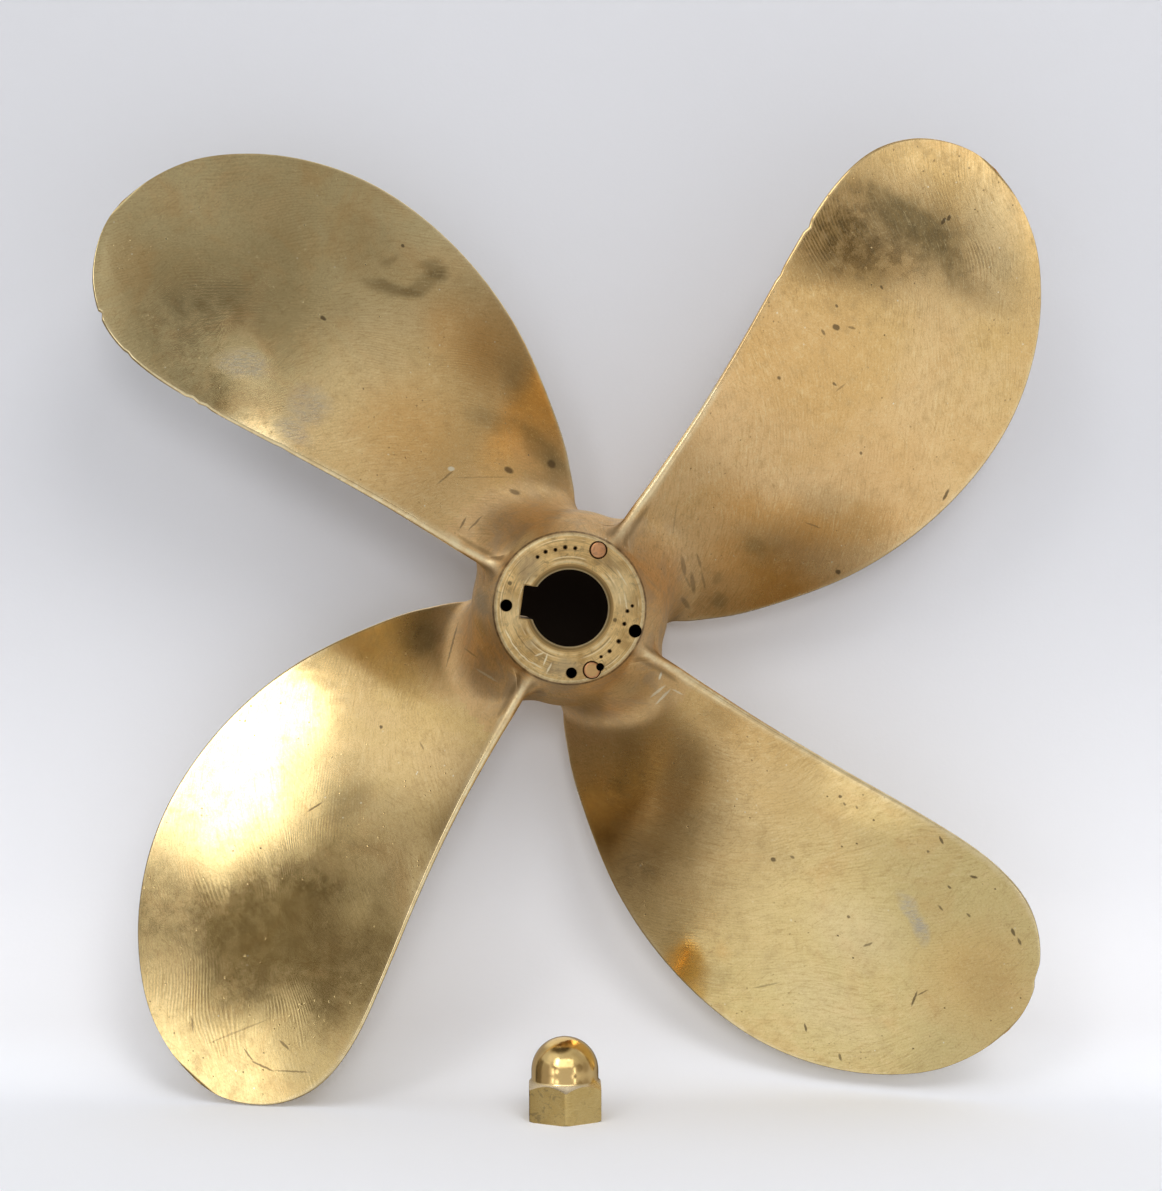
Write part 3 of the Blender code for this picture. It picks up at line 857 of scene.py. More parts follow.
def fine_plug(name, angle, place, radius):
    """A copper plug, peened over slightly and faced off."""
    profile = [
        (0.0, PLUG_LENGTH),
        (radius * 0.6, PLUG_LENGTH - 0.00003),
        (radius - 0.0004, PLUG_LENGTH - 0.0001),
        (radius - 0.0001, PLUG_LENGTH - 0.00035),
        (radius, PLUG_LENGTH - 0.0008),
        (radius, 0.0),
        (0.0, 0.0),
    ]
    plug = turned(f"{name}_fine", profile, 48, on_aft_face(angle, place, PLUG_SINK + PLUG_LENGTH))
    steps = []
    if name == "lower_copper_plug":
        steps.append(("DIFFERENCE", drill("plug_cut", *PLUG_DRILLING, edge=0.0001)))
    apply_booleans(plug, steps)
    plug.data.shade_smooth()
    plug.data.set_sharp_from_angle(angle=math.radians(40))
    return plug


def fine_nut():
    """The cap nut with broken corners and a threaded blind hole."""
    corner = NUT_ACROSS_FLATS / 2 / math.cos(math.pi / 6)
    turn = Matrix.Rotation(math.radians(NUT_YAW - 90), 4, "Z")
    seat = Matrix.Translation((NUT_PLACE_X, NUT_PLACE_Y, FLOOR)) @ turn
    bm = bmesh.new()
    tall = NUT_HEIGHT + MARGIN
    bmesh.ops.create_cone(bm, cap_ends=True, segments=6, radius1=corner, radius2=corner, depth=tall)
    bmesh.ops.translate(bm, verts=bm.verts, vec=(0, 0, tall / 2))
    first = max(bm.verts, key=lambda vertex: vertex.co.x)
    bmesh.ops.rotate(bm, verts=bm.verts, cent=(0, 0, 0),
                     matrix=Matrix.Rotation(-math.atan2(first.co.y, first.co.x), 3, "Z"))
    uprights = [e for e in bm.edges if abs(e.verts[0].co.z - e.verts[1].co.z) > 0.01]
    bmesh.ops.bevel(bm, geom=uprights, offset=0.0005, segments=3, affect="EDGES", profile=0.5)
    nut = new_mesh_object("cap_nut_fine", bm, seat)
    centre = NUT_HEIGHT - NUT_DOME_RADIUS
    arc = [(NUT_DOME_RADIUS * math.sin(a), centre + NUT_DOME_RADIUS * math.cos(a))
           for a in np.linspace(0, math.pi / 2, 26)]
    arc[0] = (0.0, NUT_HEIGHT)
    fall = (NUT_SHOULDER - NUT_CORNER_TOP) / (corner - NUT_DOME_RADIUS)
    past = 0.001
    envelope = [
        *arc,
        (NUT_DOME_RADIUS, NUT_SHOULDER + 0.0007),
        (NUT_DOME_RADIUS + 0.0003, NUT_SHOULDER),
        (corner + past, NUT_CORNER_TOP - past * fall),
        (corner + past, past * 1.5),
        (corner - past, 0.0),
        (0.0, 0.0),
    ]
    thread = [(0.0, NUT_HOLE_DEPTH + 0.004), (NUT_HOLE_RADIUS, NUT_HOLE_DEPTH)]
    turns = 12
    pitch = (NUT_HOLE_DEPTH - 0.003) / turns
    for i in range(turns):
        height = NUT_HOLE_DEPTH - i * pitch
        thread.append((NUT_HOLE_RADIUS, height - pitch * 0.15))
        thread.append((NUT_HOLE_RADIUS + pitch * 0.5, height - pitch * 0.5))
        thread.append((NUT_HOLE_RADIUS, height - pitch * 0.85))
    thread += [(NUT_HOLE_RADIUS, 0.0018), (NUT_HOLE_RADIUS + 0.0018, 0.0),
               (NUT_HOLE_RADIUS + 0.0018 + MARGIN, -MARGIN), (0.0, -MARGIN)]
    steps = [
        ("INTERSECT", turned("nut_envelope", envelope, 96, seat)),
        ("DIFFERENCE", turned("nut_hole", thread, 64, seat)),
    ]
    apply_booleans(nut, steps)
    nut.data.shade_smooth()
    nut.data.set_sharp_from_angle(angle=math.radians(24))
    return nut


class Nodes:
    """A short way of writing node trees."""

    def __init__(self, tree):
        self.tree = tree
        tree.nodes.clear()

    def add(self, kind, inputs=(), **settings):
        node = self.tree.nodes.new(kind)
        for key, value in settings.items():
            setattr(node, key, value)
        for key, value in dict(inputs).items():
            socket = node.inputs[key]
            if isinstance(value, bpy.types.NodeSocket):
                self.tree.links.new(value, socket)
            else:
                socket.default_value = value
        return node

    def math(self, operation, a, b=0.0, c=0.0, clamp=False):
        inputs = {0: a, 1: b, 2: c}
        return self.add("ShaderNodeMath", inputs, operation=operation, use_clamp=clamp).outputs[0]

    def times(self, a, b, clamp=False):
        return self.math("MULTIPLY", a, b, clamp=clamp)

    def plus(self, a, share, base):
        """The base with a share of a added to it."""
        return self.math("MULTIPLY_ADD", a, share, base)

    def component(self, vector, axis):
        return self.add("ShaderNodeSeparateXYZ", {0: vector}).outputs[axis]

    def vector(self, operation, a, b=(0, 0, 0), c=(0, 0, 0)):
        node = self.add("ShaderNodeVectorMath", {0: a, 1: b}, operation=operation)
        if operation == "MULTIPLY_ADD":
            self.put(node.inputs[2], c)
        key = "Value" if operation in ("DOT_PRODUCT", "LENGTH", "DISTANCE") else "Vector"
        return node.outputs[key]

    def put(self, socket, value):
        if isinstance(value, bpy.types.NodeSocket):
            self.tree.links.new(value, socket)
        else:
            socket.default_value = value

    def range(self, value, low, high, out_low=0.0, out_high=1.0):
        """A smooth step: out_low where the value is low, out_high where it is high."""
        inputs = {"Value": value, "From Min": low, "From Max": high}
        inputs |= {"To Min": out_low, "To Max": out_high}
        node = self.add("ShaderNodeMapRange", inputs, interpolation_type="SMOOTHSTEP")
        return node.outputs["Result"]

    def noise(self, vector, scale, detail=3.0, roughness=0.5, distortion=0.0):
        inputs = {"Vector": vector, "Scale": scale, "Detail": detail}
        inputs |= {"Roughness": roughness, "Distortion": distortion}
        return self.add("ShaderNodeTexNoise", inputs).outputs["Fac"]

    def mix(self, share, a, b):
        node = self.tree.nodes.new("ShaderNodeMix")
        node.data_type = "RGBA"
        self.put(node.inputs["Factor"], share)
        self.put(node.inputs[6], a)
        self.put(node.inputs[7], b)
        return node.outputs[2]

    def layer(self, tone, share, red, green, blue):
        """A tone with a share of one colour laid over it."""
        return self.mix(share, tone, colour(red, green, blue))

    def bump(self, height, strength, distance):
        inputs = {"Height": height, "Strength": strength, "Distance": distance}
        return self.add("ShaderNodeBump", inputs).outputs["Normal"]


def colour(red, green, blue):
    return (red, green, blue, 1.0)


def new_material(name):
    material = bpy.data.materials.new(name)
    material.use_nodes = True
    return material, Nodes(material.node_tree)


def finish_metal(n, tone, rough, height):
    """Bare metal of a tone and a roughness, with a relief of heights in metres."""
    inputs = {"Base Color": tone, "Metallic": 1.0, "Roughness": rough}
    inputs["Normal"] = n.bump(height, 1.0, 1.0)
    surface = n.add("ShaderNodeBsdfPrincipled", inputs)
    n.add("ShaderNodeOutputMaterial", {"Surface": surface.outputs[0]})


# Radius inside which the casting wears the hub's material, and the side of each blade in X and Z
HUB_SKIN_RADIUS = 0.066
QUADRANTS = ((-1, 1), (1, 1), (1, -1), (-1, -1))


def spots(n, place, table, softness):
    """The sum of soft elliptical marks on a flattened place.

    Each mark's place leans on the sum so far by a vanishing amount, so that Cycles works the
    marks out one after another and doesn't run out of room for values in between.
    """
    total = 0.0
    for x, z, length, width, turn, strength in table:
        if total:
            place = n.vector("MULTIPLY_ADD", total, (1e-12, 0, 0), place)
        local = n.add(
            "ShaderNodeMapping",
            {
                "Vector": place,
                "Location": (x / 1000, 0, z / 1000),
                "Rotation": (0, -math.radians(turn), 0),
                "Scale": (length / 1000, 1, width / 1000),
            },
            vector_type="TEXTURE",
        ).outputs[0]
        mask = n.range(n.vector("LENGTH", local), 1 + softness, 1 - softness)
        total = n.plus(mask, strength, total)
    return total


def rows_near(table, part):
    """The marks of a table that can show on one blade or, as the last part, on the hub."""
    rows = []
    for row in table:
        reach = 1.6 * max(row[2], row[3]) + 6
        from_axis = math.hypot(row[0], row[1])
        if part == len(BLADES):
            near = from_axis - reach < HUB_SKIN_RADIUS * 1000
        else:
            beside = all(sign * value > -reach for sign, value in zip(QUADRANTS[part], row))
            near = beside and from_axis + reach > HUB_SKIN_RADIUS * 1000
        if near:
            rows.append(row)
    return rows


def field(n, name, output="Fac"):
    return n.add("ShaderNodeAttribute", attribute_name=name).outputs[output]


def shaken(n, place, scale, reach):
    """A place moved about by noise, so that marks get ragged outlines."""
    noise = n.add("ShaderNodeTexNoise", {"Vector": place, "Scale": scale, "Detail": 3.0})
    offset = n.vector("SUBTRACT", noise.outputs["Color"], (0.5, 0.5, 0.5))
    return n.vector("MULTIPLY_ADD", offset, (reach, 0, reach), place)


# Deeper, lighter and olive tone of each blade's metal and, last, of the hub's
SKIN_TONES = (
    (colour(0.84, 0.57, 0.235), colour(0.88, 0.61, 0.29), colour(0.78, 0.66, 0.36)),
    (colour(0.81, 0.505, 0.20), colour(0.92, 0.615, 0.30), colour(0.82, 0.64, 0.28)),
    (colour(0.81, 0.54, 0.22), colour(0.90, 0.655, 0.32), colour(0.82, 0.66, 0.30)),
    (colour(0.83, 0.59, 0.24), colour(0.88, 0.63, 0.31), colour(0.82, 0.635, 0.30)),
    (colour(0.84, 0.55, 0.24), colour(0.88, 0.59, 0.29), colour(0.80, 0.60, 0.28)),
)

# Turned lines on the aft face: radius, half width, share and colour
RING_LINES = (
    (0.0211, 0.0009, 0.5, colour(0.96, 0.82, 0.50)),
    (0.0225, 0.0004, 0.6, colour(0.24, 0.16, 0.07)),
    (0.0232, 0.0004, 0.5, colour(1.0, 0.90, 0.62)),
    (0.0262, 0.0003, 0.5, colour(0.30, 0.21, 0.10)),
    (0.0307, 0.0003, 0.6, colour(0.28, 0.19, 0.09)),
    (0.0313, 0.0003, 0.6, colour(1.0, 0.88, 0.58)),
)


def pits(n, place, scale, size, share):
    """A sparse scatter of round pits: scale of the cells, size, and share of cells with a pit."""
    cells = n.add("ShaderNodeTexVoronoi", {"Vector": place, "Scale": scale, "Randomness": 1.0})
    chosen = n.add("ShaderNodeSeparateColor", {0: cells.outputs["Color"]}).outputs[0]
    inside = n.range(cells.outputs["Distance"], size, size * 0.4)
    return n.times(inside, n.math("LESS_THAN", chosen, share))


def bronze_material(part):
    """The casting's bronze, with the marks of one blade or, as the last part, of the hub."""
    is_hub = part == len(BLADES)
    material, n = new_material("bronze_hub" if is_hub else f"bronze_blade_{part + 1}")
    place = n.add("ShaderNodeTexCoord").outputs["Object"]
    grain = field(n, "grain", "Vector")
    on_blade = field(n, "on_blade")
    edge_wear_and_painted_light = field(n, "wear_and_painted_light")
    flat_place = n.vector("MULTIPLY", place, (1.0, 0.0, 1.0))
    from_axis = n.vector("LENGTH", flat_place)
    depth = n.math("ADD", n.component(place, 1), HUB_LENGTH)
    facing = n.add("ShaderNodeNewGeometry").outputs["True Normal"]
    on_aft_side = n.range(n.component(facing, 1), 0.05, -0.05)

    # Broad tarnish: golden, brown and olive areas that run into each other
    clouds = n.noise(place, 11.0, 4.0, 0.55, 0.6)
    patches = n.noise(place, 26.0, 4.0, 0.65, 1.2)
    mottle = n.noise(place, 150.0, 4.0, 0.7)
    speckle = n.noise(place, 1100.0, 2.0, 0.6)
    deep, light, olive_tone = SKIN_TONES[part]
    tone = n.mix(n.range(clouds, 0.38, 0.62), deep, light)
    tone = n.layer(tone, n.times(n.range(patches, 0.48, 0.30), 0.5), 0.76, 0.47, 0.19)
    olive = n.times(field(n, "olive"), n.range(patches, 0.25, 0.6, 0.5, 1.0))
    tone = n.mix(olive, tone, olive_tone)
    toward_root = field(n, "browned")
    browned = n.times(toward_root, n.range(clouds, 0.30, 0.70, 0.65, 1.25))
    tone = n.layer(tone, n.math("MINIMUM", browned, 1.0), 0.78, 0.50, 0.22)
    tone = n.layer(tone, n.times(n.range(mottle, 0.50, 0.72), 0.34), 0.56, 0.38, 0.17)
    tone = n.layer(tone, n.times(n.range(mottle, 0.46, 0.30), 0.30), 0.98, 0.74, 0.38)

    # Listed marks
    ragged = shaken(n, flat_place, 90.0, 0.008)
    near = shaken(n, flat_place, 500.0, 0.0008)
    rub = n.noise(n.vector("MULTIPLY", place, (260.0, 260.0, 900.0)), 1.0, 4.0, 0.7)
    rub = n.range(rub, 0.25, 0.75)

    def stains(table, softness):
        return n.times(spots(n, ragged, rows_near(table, part), softness), on_aft_side, clamp=True)

    # Dark stains, with painted shade at the roots of the blades
    dark_stain_and_shade = stains(DARK_STAINS_AND_SHADE, 0.6)
    grey = n.times(stains(GREY_STAINS, 0.5), n.plus(rub, 0.8, 0.2))
    # Orange stains, and a painted reflection of the cap nut on the lower right blade
    orange_stain_and_reflection = stains(ORANGE_STAINS_AND_REFLECTION, 0.7)
    # Pale marks, partly pale wear and partly painted light
    pale_stain_and_light = stains(PALE_STAINS_AND_LIGHT, 0.7)
    scratch = n.times(spots(n, near, rows_near(SCRATCHES, part), 0.35), on_aft_side)
    tone = n.layer(tone, orange_stain_and_reflection, 0.82, 0.43, 0.12)
    tone = n.layer(tone, pale_stain_and_light, 0.92, 0.76, 0.44)
    tone = n.layer(tone, dark_stain_and_shade, 0.36, 0.26, 0.12)
    tone = n.layer(tone, grey, 0.52, 0.48, 0.40)

    # Short grinding marks that cross the blade and bend with it
    bend = n.add("ShaderNodeTexNoise", {"Vector": grain, "Scale": 16.0, "Detail": 1.0})
    bend = n.vector("SUBTRACT", bend.outputs["Color"], (0.5, 0.5, 0.5))
    bent = n.vector("MULTIPLY_ADD", bend, (0.03, 0.03, 0.0), grain)
    slant = (0, 0, math.radians(38))
    turned_grain = n.add("ShaderNodeMapping", {"Vector": bent, "Rotation": slant}).outputs[0]
    lines = n.noise(n.vector("MULTIPLY", turned_grain, (160.0, 1000.0, 60.0)), 1.0, 3.0, 0.7)
    cross_lines = n.noise(n.vector("MULTIPLY", bent, (110.0, 1300.0, 60.0)), 1.0, 2.0, 0.6)
    short_marks = n.noise(n.vector("MULTIPLY", turned_grain, (260.0, 1300.0, 60.0)), 1.0, 2.0, 0.5)
    short_marks = n.range(short_marks, 0.60, 0.74)
    short_marks = n.times(short_marks, n.range(patches, 0.40, 0.60))
    lined = n.range(n.noise(place, 19.0, 2.0, 0.6), 0.36, 0.62, 0.12, 0.46)
    tone = n.layer(tone, n.times(n.range(lines, 0.50, 0.72), lined), 0.47, 0.29, 0.10)
    tone = n.layer(tone, n.times(n.range(lines, 0.46, 0.28), lined), 1.0, 0.80, 0.44)
    tone = n.layer(tone, n.times(n.range(cross_lines, 0.54, 0.74), 0.30), 0.50, 0.33, 0.13)
    tone = n.layer(tone, n.times(n.range(speckle, 0.52, 0.76), 0.34), 0.45, 0.30, 0.11)
    tone = n.layer(tone, n.times(n.range(speckle, 0.46, 0.26), 0.30), 1.0, 0.84, 0.48)

    # Chatter ribs of the grinding wheel, in loose patches
    along = n.component(turned_grain, 1)
    wobble = n.noise(place, 35.0, 1.0)
    phase = n.plus(wobble, 10.0, n.times(along, 2 * math.pi / 0.0017))
    rib_patch = n.range(n.noise(place, 32.0, 2.0, 0.6), 0.48, 0.62)
    ribs = n.times(n.times(n.math("SINE", phase), rib_patch), on_blade)
    tone = n.layer(tone, n.times(n.math("MAXIMUM", ribs, 0.0), 0.14), 0.46, 0.30, 0.13)

    # Pits: large ones dark, small ones in crowds, and bright specks of fresh metal
    crowd = n.range(n.noise(place, 24.0, 2.0, 0.5), 0.40, 0.62)
    pit = pits(n, place, 145.0, 0.085, 0.16)
    small_pit = n.times(pits(n, place, 420.0, 0.22, 0.12), crowd)
    speck = n.times(pits(n, n.vector("ADD", place, (0.31, 0.17, 0.05)), 230.0, 0.13, 0.16), crowd)

    # Near the hub the skin is duller and stained
    hub_stain = n.math("SUBTRACT", 1.0, on_blade)
    stain_noise = n.noise(place, 60.0, 6.0, 0.7, 0.8)
    stain = n.times(hub_stain, n.range(stain_noise, 0.42, 0.62))
    tone = n.layer(tone, n.times(stain, 0.55), 0.56, 0.42, 0.27)
    dark_scratch = n.math("MAXIMUM", scratch, 0.0, clamp=True)
    bright_scratch = n.times(n.math("MINIMUM", scratch, 0.0), -1.0, clamp=True)
    tone = n.layer(tone, n.times(short_marks, 0.35), 0.40, 0.25, 0.10)
    tone = n.layer(tone, n.times(pit, 0.75), 0.12, 0.08, 0.04)
    tone = n.layer(tone, n.times(small_pit, 0.6), 0.30, 0.20, 0.09)
    tone = n.layer(tone, n.times(dark_scratch, 0.8), 0.12, 0.08, 0.04)
    tone = n.layer(tone, n.math("MAXIMUM", bright_scratch, n.times(speck, 0.8)), 1.0, 0.93, 0.70)
    # Painted shade beside the crests over the hub, and pale edges and crests, partly wear and
    # partly painted highlight
    painted_crest_shade = n.times(n.math("MINIMUM", edge_wear_and_painted_light, 0.0), -1.0)
    tone = n.layer(tone, painted_crest_shade, 0.30, 0.19, 0.08)
    wear_and_highlight_share = n.times(n.math("MAXIMUM", edge_wear_and_painted_light, 0.0), n.range(mottle, 0.35, 0.60, 0.95, 0.45))
    tone = n.layer(tone, wear_and_highlight_share, 1.0, 0.84, 0.52)

    rough = n.range(clouds, 0.35, 0.65, 0.10, 0.16)
    rough = n.math("ADD", rough, n.range(mottle, 0.35, 0.75, -0.02, 0.05))
    rough = n.plus(hub_stain, 0.18, rough)
    rough = n.plus(n.range(from_axis, 0.110, 0.055), 0.14, rough)
    rough = n.plus(toward_root, 0.12, rough)
    rough = n.plus(lines, 0.05, rough)
    rough = n.plus(grey, 0.22, rough)

    height = n.times(lines, 0.000007)
    height = n.plus(ribs, 0.0000022, height)
    height = n.plus(n.noise(place, 70.0, 2.0, 0.5), 0.000022, height)
    height = n.plus(mottle, 0.000006, height)
    height = n.plus(pit, -0.00016, height)
    height = n.plus(small_pit, -0.00006, height)

    if is_hub:
        # The aft face was turned, then worn: rings round the shaft, a hammered skin, bright rims
        # that are partly wear and partly painted highlight
        on_face = n.range(depth, 0.0012, 0.0006)
        around = n.add("ShaderNodeVectorMath", {0: flat_place}, operation="NORMALIZE").outputs[0]
        ring_step = n.add("ShaderNodeCombineXYZ", {1: n.times(from_axis, 2300.0)}).outputs[0]
        ring_place = n.vector("MULTIPLY_ADD", around, (1.2, 1.2, 1.2), ring_step)
        rings = n.noise(ring_place, 1.0, 3.0, 0.7)
        worn_skin = n.noise(place, 330.0, 5.0, 0.7, 0.6)
        face_clouds = n.noise(place, 120.0, 4.0, 0.6, 0.5)
        golden, pale_gold = colour(0.55, 0.35, 0.13), colour(0.86, 0.61, 0.27)
        face_tone = n.mix(n.range(face_clouds, 0.35, 0.65), golden, pale_gold)
        face_tone = n.layer(face_tone, n.times(n.range(rings, 0.48, 0.70), 0.6), 0.36, 0.25, 0.10)
        face_tone = n.layer(face_tone, n.times(n.range(rings, 0.46, 0.30), 0.4), 0.96, 0.75, 0.40)
        face_tone = n.layer(face_tone, n.range(worn_skin, 0.50, 0.72), 0.36, 0.25, 0.11)
        broken = n.range(n.noise(place, 70.0, 3.0, 0.6), 0.44, 0.58)
        for middle, width, share, line_tone in RING_LINES:
            gap = n.math("ABSOLUTE", n.math("SUBTRACT", from_axis, middle))
            mask = n.times(n.range(gap, width, width * 0.3), n.times(broken, share))
            face_tone = n.mix(mask, face_tone, line_tone)
        tone = n.mix(n.times(on_face, 0.92), tone, face_tone)
        tone = n.layer(tone, n.times(n.times(dark_stain_and_shade, on_face), 0.7), 0.34, 0.27, 0.18)
        tone = n.layer(tone, n.times(n.times(pale_stain_and_light, on_face), 0.8), 0.97, 0.80, 0.46)
        face_scratch = n.times(on_face, 0.8)
        tone = n.layer(tone, n.times(dark_scratch, face_scratch), 0.14, 0.10, 0.05)
        tone = n.layer(tone, n.times(bright_scratch, face_scratch), 1.0, 0.90, 0.62)
        # The aft rim is pale, partly wear and partly painted highlight; the bore's chamfer gets a
        # paler band, painted shade on its inner half and a painted highlight at its inner edge
        rim_wear_and_highlight = n.times(n.range(from_axis, 0.0324, 0.0329), n.range(from_axis, 0.0347, 0.0341))
        mouth = n.times(n.range(from_axis, 0.0206, 0.0199), n.range(depth, 0.0032, 0.0027))
        rim_wear_and_highlight = n.times(rim_wear_and_highlight, n.range(depth, 0.0014, 0.0009))
        inner_edge_highlight = n.times(mouth, n.range(from_axis, 0.0183, 0.0178))
        rim_wear_and_highlight = n.times(rim_wear_and_highlight, n.range(worn_skin, 0.30, 0.60, 1.0, 0.45))
        shaded = n.times(mouth, n.range(from_axis, 0.0193, 0.0187))
        tone = n.layer(tone, n.times(mouth, 0.7), 0.84, 0.62, 0.29)
        tone = n.layer(tone, n.times(shaded, 0.8), 0.50, 0.35, 0.15)
        tone = n.layer(tone, n.times(n.math("MAXIMUM", rim_wear_and_highlight, inner_edge_highlight), 0.9), 1.0, 0.86, 0.54)
        # A dark band on the barrel just forward of the aft rim
        dark_band_behind_rim = n.times(n.range(depth, 0.0011, 0.0015), n.range(depth, 0.0034, 0.0024))
        dark_band_behind_rim = n.times(dark_band_behind_rim, n.range(from_axis, 0.0325, 0.0335))
        dark_band_behind_rim = n.times(dark_band_behind_rim, n.range(worn_skin, 0.35, 0.65, 0.35, 0.9))
        tone = n.layer(tone, dark_band_behind_rim, 0.20, 0.13, 0.07)
        # Painted shade: the walls of the bore and the drilled holes are near-black
        inside = field(n, "inside")
        tone = n.layer(tone, inside, 0.020, 0.014, 0.009)
        rough = n.plus(n.math("MAXIMUM", rim_wear_and_highlight, mouth), 0.15, rough)
        rough = n.plus(inside, 0.35, rough)
        ring_height = n.plus(rings, 0.000030, n.times(worn_skin, 0.000060))
        height = n.plus(ring_height, on_face, height)

    finish_metal(n, tone, rough, height)
    return material


def copper_material():
    material, n = new_material("copper_plug_dull")
    place = n.add("ShaderNodeTexCoord").outputs["Object"]
    mottle = n.noise(place, 900.0, 4.0, 0.6)
    clouds = n.noise(place, 260.0, 3.0, 0.6)
    tone = n.mix(n.range(clouds, 0.35, 0.65), colour(0.72, 0.37, 0.18), colour(0.60, 0.29, 0.13))
    tone = n.layer(tone, n.times(n.range(mottle, 0.48, 0.66), 0.5), 0.36, 0.20, 0.12)
    is_low = n.math("LESS_THAN", n.component(place, 2), 0.0)
    _, low_angle, low_place, low_radius = PLUGS[1]
    turn = math.radians(low_angle)
    low_middle = (low_place * math.cos(turn), 0.0, low_place * math.sin(turn))
    flat = n.vector("MULTIPLY", place, (1.0, 0.0, 1.0))
    from_middle = n.vector("DISTANCE", flat, low_middle)
    brassy = n.times(n.range(from_middle, low_radius * 0.86, low_radius * 0.66), is_low)
    tone = n.layer(tone, n.times(brassy, 0.8), 0.66, 0.42, 0.17)
    height = n.times(mottle, 0.00003)
    finish_metal(n, tone, n.range(clouds, 0.3, 0.7, 0.38, 0.5), height)
    return material


def nut_material():
    material, n = new_material("nut_brass_polished")
    place = n.add("ShaderNodeTexCoord").outputs["Object"]
    height_up = n.component(place, 2)
    dome = n.range(height_up, FLOOR + 0.0160, FLOOR + 0.0185)
    fine = n.noise(place, 900.0, 4.0, 0.6)
    clouds = n.noise(place, 120.0, 4.0, 0.6, 0.8)
    streaks = n.noise(n.vector("MULTIPLY", place, (500.0, 500.0, 5000.0)), 1.0, 3.0, 0.6)
    tone = n.mix(n.range(clouds, 0.35, 0.65), colour(0.84, 0.62, 0.26), colour(0.76, 0.53, 0.19))
    brown = n.times(dome, n.range(n.noise(place, 60.0, 3.0), 0.40, 0.62, 0.25, 0.75))
    tone = n.layer(tone, brown, 0.80, 0.55, 0.24)
    on_flat = n.math("SUBTRACT", 1.0, dome)
    stains = n.times(n.range(n.noise(place, 190.0, 3.0, 0.6, 1.5), 0.56, 0.62), on_flat)
    left_side = n.range(n.component(place, 0), NUT_PLACE_X + 0.001, NUT_PLACE_X - 0.002)
    stains = n.times(stains, n.plus(left_side, 0.5, 0.3))
    tone = n.layer(tone, stains, 0.26, 0.20, 0.12)
    bright, dull = colour(0.70, 0.53, 0.22), colour(0.48, 0.33, 0.12)
    flat_tone = n.mix(n.range(streaks, 0.35, 0.70), bright, dull)
    tone = n.mix(n.times(on_flat, 0.5), tone, flat_tone)
    # Painted highlight: the sloping chamfers above the flats are painted pale
    tilt = n.component(n.add("ShaderNodeNewGeometry").outputs["True Normal"], 2)
    bevel = n.times(n.range(tilt, 0.30, 0.45), on_flat)
    tone = n.layer(tone, n.times(bevel, 0.85), 1.0, 0.84, 0.60)
    cells = n.add("ShaderNodeTexVoronoi", {"Vector": place, "Scale": 520.0})
    chosen = n.add("ShaderNodeSeparateColor", {0: cells.outputs["Color"]}).outputs[0]
    pit = n.times(n.range(cells.outputs["Distance"], 0.16, 0.06), n.range(chosen, 0.84, 0.88))
    tone = n.layer(tone, n.times(pit, 0.6), 0.25, 0.16, 0.06)
    rough_flat = n.range(streaks, 0.3, 0.7, 0.24, 0.36)
    rough_dome = n.range(fine, 0.3, 0.7, 0.12, 0.20)
    rough = n.math("ADD", n.times(rough_dome, dome),
                   n.times(rough_flat, n.math("SUBTRACT", 1.0, dome)))
    height = n.times(streaks, n.plus(dome, -0.000004, 0.0000055))
    height = n.plus(fine, 0.000004, height)
    height = n.plus(n.noise(place, 160.0, 2.0, 0.5), 0.00004, height)
    height = n.plus(pit, -0.00004, height)
    finish_metal(n, tone, rough, height)
    return material


def direction(theta, clock):
    """A direction at an angle from straight aft, and a clock angle measured from +X towards +Z."""
    t, c = math.radians(theta), math.radians(clock)
    return (math.sin(t) * math.cos(c), -math.cos(t), math.sin(t) * math.sin(c))


# Round soft patches of light on top of an even grey: angle from straight aft, clock angle,
# inner and outer reach, and strength. A negative strength is an unlit part of the studio.
ROUND_PATCHES = (
    (42, 134, 5, 9, 3.6),
    (50, 121, 5, 9, 3.6),
    (55, 147, 4, 9, -0.22),
    (68, 130, 10, 24, 0.24),
    (28, 170, 5, 8, 1.50),
    (39.5, 160, 7, 12, -0.46),
    (50, 153, 3, 6, -0.16),
    (47.5, 165, 1, 4, 0.24),
    (96, 100, 18, 32, -0.54),
    (46.4, 72.3, 1.1, 3.0, 3.2),
    (41, 70.6, 1, 4, 0.25),
    (54, 16, 10, 14, -0.22),
    (78, 10, 8, 18, -0.13),
    (34, 60, 9, 17, -0.26),
    (38, 68, 6, 10, -0.10),
    (39.6, 71, 2.5, 4.5, -0.26),
    (28, 69, 2, 6, 0.16),
    (56, 50, 8, 20, 0.10),
    (84, 30, 20, 50, -0.14),
    (84, 300, 20, 44, -0.14),
    (50, 318, 16, 28, 0.20),
    (36.0, 340.8, 4.2, 6.0, -0.70),
    (29.0, 342, 3, 5, 1.0),
    (31, 353, 1, 4, 0.5),
    (61, 286, 7, 14, -0.34),
    (92, 268, 8, 22, -0.34),
    (38, 226, 5, 14, 0.20),
    (60, 240, 10, 20, 0.12),
    (50, 251, 3, 8, 0.30),
    (49, 202, 4, 11, -0.28),
    (70, 204, 3, 8, 0.16),
    (62, 226, 2, 8, 0.22),
    (44, 38, 4, 9, -0.20),
    (180, 0, 40, 85, -0.24),
    (134, 100, 20, 32, 0.50),
    (115, 45, 10, 26, 0.45),
    (147, 282, 20, 42, -0.30),
)

